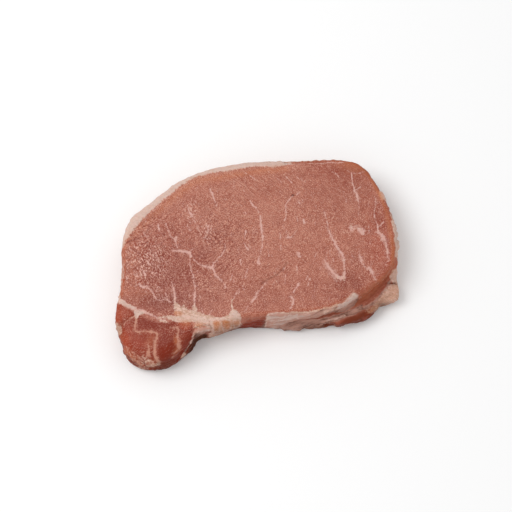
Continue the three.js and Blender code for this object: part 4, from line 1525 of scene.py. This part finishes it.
        # darker lean, and painted shade on shaded walls and at the foot
        colour = self.over(colour, finish.lean_deep, self.deep)
        colour = self.over(colour, finish.lean_deep, self.span(self.patches, 0.52, 0.8, 0.0, 0.22))
        shaded = self.sum(
            (self.tail, -0.3), (self.deep, -0.45), (self.side, -0.6), (self.warm, -0.35), (streak, -0.3)
        )
        open_lean = self.span(shaded, -1.0, 0.0)
        return self.grained(
            colour,
            Grain(finish.lean_pale, open_lean, self.patches, 0.48, 0.2, 0.3),
            Grain(finish.lean_deep, open_lean, self.grain, 0.49, 0.35, 0.68),
            Grain(finish.lean_deep, open_lean, mottle, 0.5, 0.25, 0.28),
            Grain(finish.lean_pale, open_lean, mottle, 0.5, 0.75, 0.3),
            Grain(finish.speck, open_lean, self.grain, 0.51, 0.67, 0.72),
            Grain(finish.lean_deep, self.fibre, self.coarse, 0.5, 0.3, 0.2),
            Grain(finish.speck, self.fibre, self.coarse, 0.54, 0.76, 0.1),
            Grain(finish.lean_deep, self.fibre, self.borders, 0.13, 0.04, 0.75),
            Grain(finish.lean_deep, self.fibre, self.fine, 0.48, 0.38, 0.7),
            Grain(finish.speck, self.fibre, self.fine, 0.52, 0.62, 0.65),
            Grain(finish.lean_deep, self.share(RIPPLE), rings, 0.6, 0.1, 0.8),
            # painted highlights where the glint share lies
            Grain(finish.glint, self.share(GLINT), glints, 0.6, 0.7, 0.8),
            Grain(finish.speck, self.tail, self.threads, 0.56, 0.8, 0.28),
            Grain(finish.lean_deep, self.tail, self.threads, 0.48, 0.3, 0.3),
            Grain(finish.speck, streak, cuts, 0.55, 0.7, 0.6),
            Grain(finish.lean_deep, streak, cuts, 0.47, 0.3, 0.35),
        )

    def silver(self) -> tuple[Socket, Socket]:
        """Colour of the silverskin, in layers, and its ragged share."""
        finish = self.finish
        layered = self.sum((self.layers, 1.0), (self.grain, 0.3), (self.deep, 0.3), (self.pale, -0.3))
        colour = self.over(finish.silver, finish.silver_shade, self.span(layered, 0.6, 0.9))
        colour = self.over(colour, finish.fat_pale, self.span(layered, 0.5, 0.3, 0.0, 0.8))
        ragged = self.sum((self.share(SILVER), 1.0), (self.ragged, 0.8), (self.layers, 0.8))
        return colour, self.span(ragged, 0.95, 1.6)

    def fat(self) -> tuple[Socket, Socket]:
        """Colour of the fat, rougher where it isn't pale, and its frayed share."""
        finish = self.finish
        share = self.share(FAT)
        weave = self.strands(-24.0, (0.0019, 0.001, 0.0012), detail=3.0, distortion=1.2)
        marbled = self.sum((self.patches, 0.2), (self.layers, 0.35), (self.grain, 0.3), (self.threads, 0.35))
        colour = self.over(finish.fat, finish.fat_shade, self.span(marbled, 0.54, 0.78))
        colour = self.over(colour, finish.fat_pale, self.pale)
        colour = self.over(colour, finish.fat_warm, self.warm)
        rough = self.span(self.pale, 0.0, 1.0, 1.0, 0.4)
        colour = self.grained(
            colour,
            Grain(finish.fat_shade, rough, self.grain, 0.5, 0.3, 0.6),
            Grain(finish.glint, rough, self.grain, 0.5, 0.7, 0.6),
            Grain(finish.fat_shade, rough, weave, 0.5, 0.36, 0.5),
            Grain(finish.glint, rough, weave, 0.53, 0.66, 0.5),
        )
        frayed = self.times(self.span(self.ragged, 0.3, 0.7, -0.16, 0.16), self.span(share, 0.0, 0.4))
        ragged = self.sum((share, 1.0), (self.ragged, 0.9), (self.middling, 0.3), (frayed, 1.0))
        return colour, self.span(ragged, 0.8, 1.45)

    def build(self) -> bpy.types.Material:
        """Lays the tissues over the lean, from the veins up to the creases and their painted shade, with
        their gloss and relief.
        """
        finish = self.finish
        vein = self.sum((self.share(VEIN), 1.15), (self.ragged, 1.3), (self.fine, 0.6))
        vein_colour = self.over(finish.vein, finish.vein_tail, self.tail)
        silver_colour, silver_share = self.silver()
        fat_colour, fat_share = self.fat()
        meat = self.over(self.lean(), vein_colour, self.span(vein, 1.12, 1.86))
        meat = self.over(meat, silver_colour, silver_share)
        meat = self.over(meat, fat_colour, fat_share)
        # dark crease lines and painted shade in creases, undercuts, gaps and at the foot
        meat = self.over(meat, finish.crease, self.share(CREASE))
        rough = self.sum(
            (self.span(fat_share, 0.0, 1.0, finish.roughness, finish.fat_roughness), 0.5),
            (self.span(silver_share, 0.0, 1.0, finish.roughness, finish.silver_roughness), 0.5),
        )
        dull = self.sum((self.span(self.side, 0.0, 0.4), 1.0), (self.tail, 0.6))
        relief = self.sum(
            (self.grain, 1.0),
            (self.times(self.fibre, self.coarse), 1.0),
            (self.times(silver_share, self.layers), 1.0),
            (self.times(self.fibre, self.borders), 1.5),
        )
        bump = self.node("ShaderNodeBump", {"Strength": finish.bump, "Distance": finish.bump_height})
        self.link(relief, bump.inputs["Height"])
        values = {
            "Coat Roughness": finish.coat_roughness,
            "Subsurface Weight": finish.scatter,
            "Subsurface Radius": finish.scatter_reach,
            "Subsurface Scale": finish.scatter_scale,
        }
        shader = self.node("ShaderNodeBsdfPrincipled", values)
        links = {
            "Base Color": meat,
            "Roughness": rough,
            "Specular IOR Level": self.span(dull, 0.0, 1.0, finish.gloss, finish.side_gloss),
            "Coat Weight": self.span(dull, 0.0, 1.0, finish.coat, finish.side_coat),
            "Normal": bump.outputs["Normal"],
            "Coat Normal": bump.outputs["Normal"],
        }
        for name, source in links.items():
            self.link(source, shader.inputs[name])
        output = self.tree.nodes.new("ShaderNodeOutputMaterial")
        self.link(shader.outputs["BSDF"], output.inputs["Surface"])
        return self.made


def stretched_grid(edge: Field, along: int, across: int) -> Field:
    """Points of a grid stretched over a closed edge.

    Each point is the blend of the front and back sides, plus the blend of the left and right sides,
    less the blend of the four corners.

    Args:
        edge: points of the edge, counter-clockwise from the front left corner.
        along: steps on the front and back sides.
        across: steps on the right and left sides.

    Returns:
        Points in plan, one row each, along the front first and on to the back.
    """
    front = edge[: along + 1]
    right = edge[along : along + across + 1]
    back = edge[along + across : 2 * along + across + 1][::-1]
    left = np.vstack([edge[2 * along + across :], edge[:1]])[::-1]
    u = np.linspace(0.0, 1.0, along + 1)[None, :, None]
    v = np.linspace(0.0, 1.0, across + 1)[:, None, None]
    sides = (1 - v) * front[None] + v * back[None] + (1 - u) * left[:, None] + u * right[:, None]
    near = (1 - u) * front[0] + u * front[-1]
    far = (1 - u) * back[0] + u * back[-1]
    return (sides - (1 - v) * near - v * far).reshape(-1, 2)


def grid_edge(along: int, across: int) -> Indices:
    """Indices of a grid's edge vertices, counter-clockwise from the front left corner."""
    index = np.arange((along + 1) * (across + 1)).reshape(across + 1, along + 1)
    return np.concatenate([index[0, :-1], index[:-1, -1], index[-1, :0:-1], index[:0:-1, 0]])


def grid_faces(along: int, across: int) -> Indices:
    """Four-sided faces of a grid, facing up."""
    index = np.arange((along + 1) * (across + 1)).reshape(across + 1, along + 1)
    corners = (index[:-1, :-1], index[:-1, 1:], index[1:, 1:], index[1:, :-1])
    return np.stack([c.ravel() for c in corners], axis=1)


def ring_faces(rings: Indices) -> Indices:
    """Four-sided faces between rings that run down and counter-clockwise, facing out."""
    following = np.roll(rings, -1, axis=1)
    corners = (rings[:-1], rings[1:], following[1:], following[:-1])
    return np.stack([c.ravel() for c in corners], axis=1)


@dataclass(frozen=True)
class Shell:
    """Cut face and side as one open shell: its places, four-sided faces, vertices ring by ring and wall."""

    places: Field
    faces: Indices
    rings: Indices
    wall: Wall

    def normals(self) -> Field:
        """Unit normal at each vertex: the sum of the crossed diagonals of its faces."""
        a, b, c, d = (self.places[self.faces[:, i]] for i in range(4))
        face_normal = np.cross(c - a, d - b)
        total = np.zeros_like(self.places)
        for axis in range(3):
            for corner in range(4):
                total[:, axis] += np.bincount(self.faces[:, corner], face_normal[:, axis], len(total))
        return total / np.maximum(np.linalg.norm(total, axis=1, keepdims=True), 1e-12)

    def down_the_side(self, level: Field) -> Field:
        """A value at each vertex: the level of its ring, and 0 within the cut face."""
        spread = np.zeros(len(self.places))
        spread[self.rings] = level
        return spread


@dataclass
class LoinChop:
    """The whole chop: one closed skin with its tissues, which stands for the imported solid."""

    outline: Outline = Outline()
    face: CutFace = CutFace()
    side: Side = Side()
    view: PhotoView = PhotoView()
    finish: PorkFinish = PorkFinish()
    along: int = 300
    across: int = 180
    under_share: int = 5  # faces of the cut face to one of the underside
    under_inset: float = 1.2
    under_regions: tuple[Region, ...] = (CAP, TAIL_FLESH, SEAM)
    offset: Pair = (-0.67, 0.19)  # from the middle of the solid's box to the outline's origin
    seed: int = 7
    under_seed: int = 8
    shown: Pair = (-0.02, 0.06)  # slope towards the camera where marks start to show, and show in full
    wander: tuple[Pair, ...] = ((5.0, 0.7), (2.4, 0.35))  # sizes and reaches in pixels
    wander_seed: int = 20
    vein_wobble: Lumps = Lumps(31, 0.45, 1.6)
    fat_depth: Pair = (0.3, 1.0)  # shares of the rim's rounding between which the side's fat sets in
    side_depth: Pair = (-0.4, 1.2)  # and between which its dull finish does
    # painted shade darkening the foot of the bare lean
    foot_shade: float = 0.6
    foot_reach: Pair = (0.5, 4.5)  # heights between which the shade of the foot fades out
    lumps: Lumps = Lumps(3, 0.14, 7.0)
    bundles: Lumps = Lumps(4, 1.0, 2.0)
    bundle_height: float = 0.04
    fibre_height: float = 0.05
    folds: tuple[Lumps, Lumps] = (Lumps(5, 0.45, 5.0, 3), Lumps(6, 0.5, 1.9))
    fold_squash: float = 1.6
    crease_depth: float = 0.1
    fat_height: float = 0.08
    relief_full: float = 2.0  # height from which the relief is full

    def _skin(self) -> Shell:
        """Cut face and side, placed over the solid."""
        wall = self.outline.wall(self.outline.even_shares(self.along, self.across))
        edge = wall.point - wall.soft[:, None] * wall.out
        plan = stretched_grid(edge, self.along, self.across)
        top = np.column_stack([plan, self.face.height(plan[:, 0], plan[:, 1])])
        out, height = self.side.profile(wall, self.face.height(edge[:, 0], edge[:, 1]))
        ring_plan = wall.point[None] + out[:, :, None] * wall.out[None]
        side = np.concatenate([ring_plan, height[:, :, None]], axis=2).reshape(-1, 3)
        lower = len(top) + np.arange(len(side)).reshape(-1, len(edge))
        rings = np.vstack([grid_edge(self.along, self.across)[None], lower])
        faces = np.vstack([grid_faces(self.along, self.across), ring_faces(rings)])
        places = np.vstack([top, side])
        low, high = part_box(NODE)
        middle = np.array([(low.x + high.x) / 2, (low.y + high.y) / 2]) / METRES
        places[:, :2] += middle + np.asarray(self.offset)
        return Shell(places, faces, rings, wall)

    def build(self) -> bpy.types.Object:
        """Builds, dresses and places the chop.

        Returns:
            The object, which rides on the body and stands for the solid.
        """
        shell = self._skin()
        marks = self._marks(shell)
        return self._object(replace(shell, places=self._relief(shell, marks)), marks)

    def _pixels(self, places: Field) -> Field:
        """Pixel of the photograph for each place, with a small wander so that no mark is ruled straight."""
        pixels = self.view.project(places)
        for turn, (size, reach) in enumerate(self.wander):
            for axis in range(2):
                seed = self.wander_seed + 2 * turn + axis
                pixels[:, axis] += Lumps(seed, reach, size * self.view.pixel).at(places)
        return pixels

    def _marks(self, shell: Shell) -> MarkMap:
        """The marks of the shell: those that the photograph shows, and on the far and left walls, which
        it doesn't show, the fat and silverskin of each station.
        """
        places = shell.places
        shown = smooth(shell.normals() @ self.view.back, *self.shown)
        marks = MarkMap(self._pixels(places), shown, 1.0 + self.vein_wobble.at(places))
        rng = np.random.default_rng(self.seed)
        for region in REGIONS:
            marks.add(region.marks, rng)
            log.info("%s: %d marks", region.name, len(region.marks))
        marks.add(Flecks().marks(), rng)
        depth = (np.arange(len(shell.rings)) / self.side.top_rings)[:, None]
        marks.raise_to(Tissue.SIDE, shell.down_the_side(smooth(depth, *self.side_depth)))
        # painted shade at the foot, where neither fat nor silverskin lies
        bare = (1.0 - marks.shares[FAT]) * (1.0 - marks.shares[SILVER])
        marks.raise_to(CREASE, self.foot_shade * bare * (1.0 - smooth(places[:, 2], *self.foot_reach)))
        for tissue, level in ((FAT, shell.wall.fat), (SILVER, shell.wall.silver)):
            spread = shell.down_the_side(level[None] * smooth(depth, *self.fat_depth))
            marks.raise_to(tissue, spread * (1.0 - shown))
        return marks

    def _relief(self, shell: Shell, marks: MarkMap) -> Field:
        """The places moved along their normals by the relief of the meat.

        The sum of slow lumps, fibre bundles on lean, ragged folds on the side, and what the marks
        raise and sink. It fades out at the foot, so the underside stays flat.
        """
        places = shell.places
        normals = shell.normals()
        shares = marks.shares
        bundle_height = self.bundle_height + self.fibre_height * shares[FIBRE]
        bundles = bundle_height * self.bundles.at(places) * (1.0 - shares[FAT])
        steep = 1.0 - np.clip(normals[:, 2], 0.0, 1.0)
        squashed = places * np.array([1.0, 1.0, self.fold_squash])
        folds = steep * sum(lumps.at(squashed) for lumps in self.folds)
        drawn = shares[RAISED] - shares[SUNK] - self.crease_depth * shares[CREASE]
        drawn += self.fat_height * shares[FAT]
        fade = smooth(places[:, 2], 0.0, self.relief_full)
        fade[shell.rings[-1]] = 0.0
        return places + normals * ((self.lumps.at(places) + bundles + folds + drawn) * fade)[:, None]

    def _underside(self, foot: Field) -> Field:
        """Places of the underside: a grid over every few vertices of the foot, drawn a little inward."""
        coarse = foot[:: self.under_share, :2]
        inward = coarse.mean(axis=0) - coarse
        inward /= np.linalg.norm(inward, axis=1, keepdims=True)
        counts = (self.along // self.under_share, self.across // self.under_share)
        plan = stretched_grid(coarse + self.under_inset * inward, *counts)
        return np.column_stack([plan, np.zeros(len(plan))])

    def _object(self, shell: Shell, marks: MarkMap) -> bpy.types.Object:
        """Closes the shell with the underside and makes the mesh, its attributes and its material."""
        foot = shell.rings[-1]
        under = self._underside(shell.places[foot])
        counts = (self.along // self.under_share, self.across // self.under_share)
        first = len(shell.places)
        under_faces = first + grid_faces(*counts)[:, ::-1]
        inner = first + grid_edge(*counts)
        closed = np.append(foot, foot[0])
        outer = [closed[step :: self.under_share][: len(inner)] for step in range(self.under_share, -1, -1)]
        strips = np.stack([inner, np.roll(inner, -1), *outer], axis=1)
        mesh = bpy.data.meshes.new("loin_chop")
        fill_mesh(mesh, np.vstack([shell.places, under]) * METRES, [shell.faces, under_faces, strips])
        below = MarkMap(self._pixels(under + np.array([0.0, 0.0, self.face.thickness])))
        for region in self.under_regions:
            below.add(region.marks, np.random.default_rng(self.under_seed))
        for tissue in Tissue:
            layer = mesh.attributes.new(tissue.value, "FLOAT", "POINT")
            values = np.concatenate([marks.shares[tissue], below.shares[tissue]])
            layer.data.foreach_set("value", values.astype(np.float32))
        mesh.materials.append(self.finish.material())
        chop = bpy.data.objects.new("loin_chop", mesh)
        bpy.context.scene.collection.objects.link(chop)
        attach(chop, BODY)
        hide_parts(NODE)
        return chop


def fill_mesh(mesh: bpy.types.Mesh, places: Field, groups: list[Indices]) -> None:
    """Fills an empty mesh with smooth faces.

    Args:
        mesh: the empty mesh.
        places: places of its vertices, in metres.
        groups: arrays of faces, one face a row, each array with its own number of corners.
    """
    corners = np.concatenate([group.ravel() for group in groups])
    totals = np.concatenate([np.full(len(group), group.shape[1]) for group in groups])
    starts = np.concatenate([[0], np.cumsum(totals)[:-1]])
    mesh.vertices.add(len(places))
    mesh.vertices.foreach_set("co", places.astype(np.float32).ravel())
    mesh.loops.add(len(corners))
    mesh.loops.foreach_set("vertex_index", corners.astype(np.int32))
    mesh.polygons.add(len(totals))
    mesh.polygons.foreach_set("loop_start", starts.astype(np.int32))
    mesh.polygons.foreach_set("loop_total", totals.astype(np.int32))
    mesh.polygons.foreach_set("use_smooth", np.ones(len(totals), bool))
    mesh.update(calc_edges=True)
    mesh.validate()


@dataclass
class Studio:
    """The pale floor, the soft lights and the camera at the photograph's angle, in metres."""

    view: PhotoView = PhotoView()
    floor_half: float = 3.0
    floor_colour: Colour = (246, 246, 246)
    floor_roughness: float = 0.9
    floor_gloss: float = 0.1
    sky: float = 0.74
    key_power: float = 4.2
    key_size: float = 0.6
    key_place: Triple = (-0.5, 0.05, 0.8)
    near_clip: float = 0.01

    def floor(self) -> None:
        """A wide flat floor under the chop."""
        mesh = bpy.data.meshes.new("floor")
        half = self.floor_half
        places = np.array([[-half, -half, 0.0], [half, -half, 0.0], [half, half, 0.0], [-half, half, 0.0]])
        fill_mesh(mesh, places, [np.array([[0, 1, 2, 3]])])
        material = bpy.data.materials.new("pale_floor")
        material.use_nodes = True
        shader = material.node_tree.nodes["Principled BSDF"]
        shader.inputs["Base Color"].default_value = linear(self.floor_colour)
        shader.inputs["Roughness"].default_value = self.floor_roughness
        shader.inputs["Specular IOR Level"].default_value = self.floor_gloss
        mesh.materials.append(material)
        floor = bpy.data.objects.new("floor", mesh)
        bpy.context.scene.collection.objects.link(floor)

    def lights(self) -> None:
        """An even white sky and one large soft light above the far side."""
        world = bpy.data.worlds.new("sky")
        world.use_nodes = True
        background = world.node_tree.nodes["Background"]
        background.inputs["Color"].default_value = (1.0, 1.0, 1.0, 1.0)
        background.inputs["Strength"].default_value = self.sky
        bpy.context.scene.world = world
        data = bpy.data.lights.new("key", "AREA")
        data.shape = "DISK"
        data.size = self.key_size
        data.energy = self.key_power
        key = bpy.data.objects.new("key", data)
        key.location = self.key_place
        key.rotation_euler = Vector(self.key_place).to_track_quat("Z", "Y").to_euler()
        bpy.context.scene.collection.objects.link(key)

    def camera(self) -> None:
        """The camera where the photograph's camera stood."""
        data = bpy.data.cameras.new("camera")
        data.lens = self.view.lens
        data.sensor_width = self.view.sensor
        data.clip_start = self.near_clip
        camera = bpy.data.objects.new("camera", data)
        turn = Matrix.Rotation(math.pi / 2 - self.view.elevation, 4, "X")
        camera.matrix_world = Matrix.Translation(Vector(self.view.eye * METRES)) @ turn
        bpy.context.scene.collection.objects.link(camera)
        bpy.context.scene.camera = camera

    def build(self) -> None:
        """Sets up the floor, the lights and the camera."""
        self.camera()
        self.lights()
        self.floor()
        bpy.context.scene.view_settings.view_transform = "Standard"


def main() -> None:
    """Builds the studio and the chop, and reports each."""
    logging.basicConfig(level=logging.INFO, format="%(name)s: %(message)s")
    Studio().build()
    log.info("studio ready")
    chop = LoinChop().build()
    log.info("%s: %d vertices, %d faces", chop.name, len(chop.data.vertices), len(chop.data.polygons))


if __name__ == "__main__":
    main()
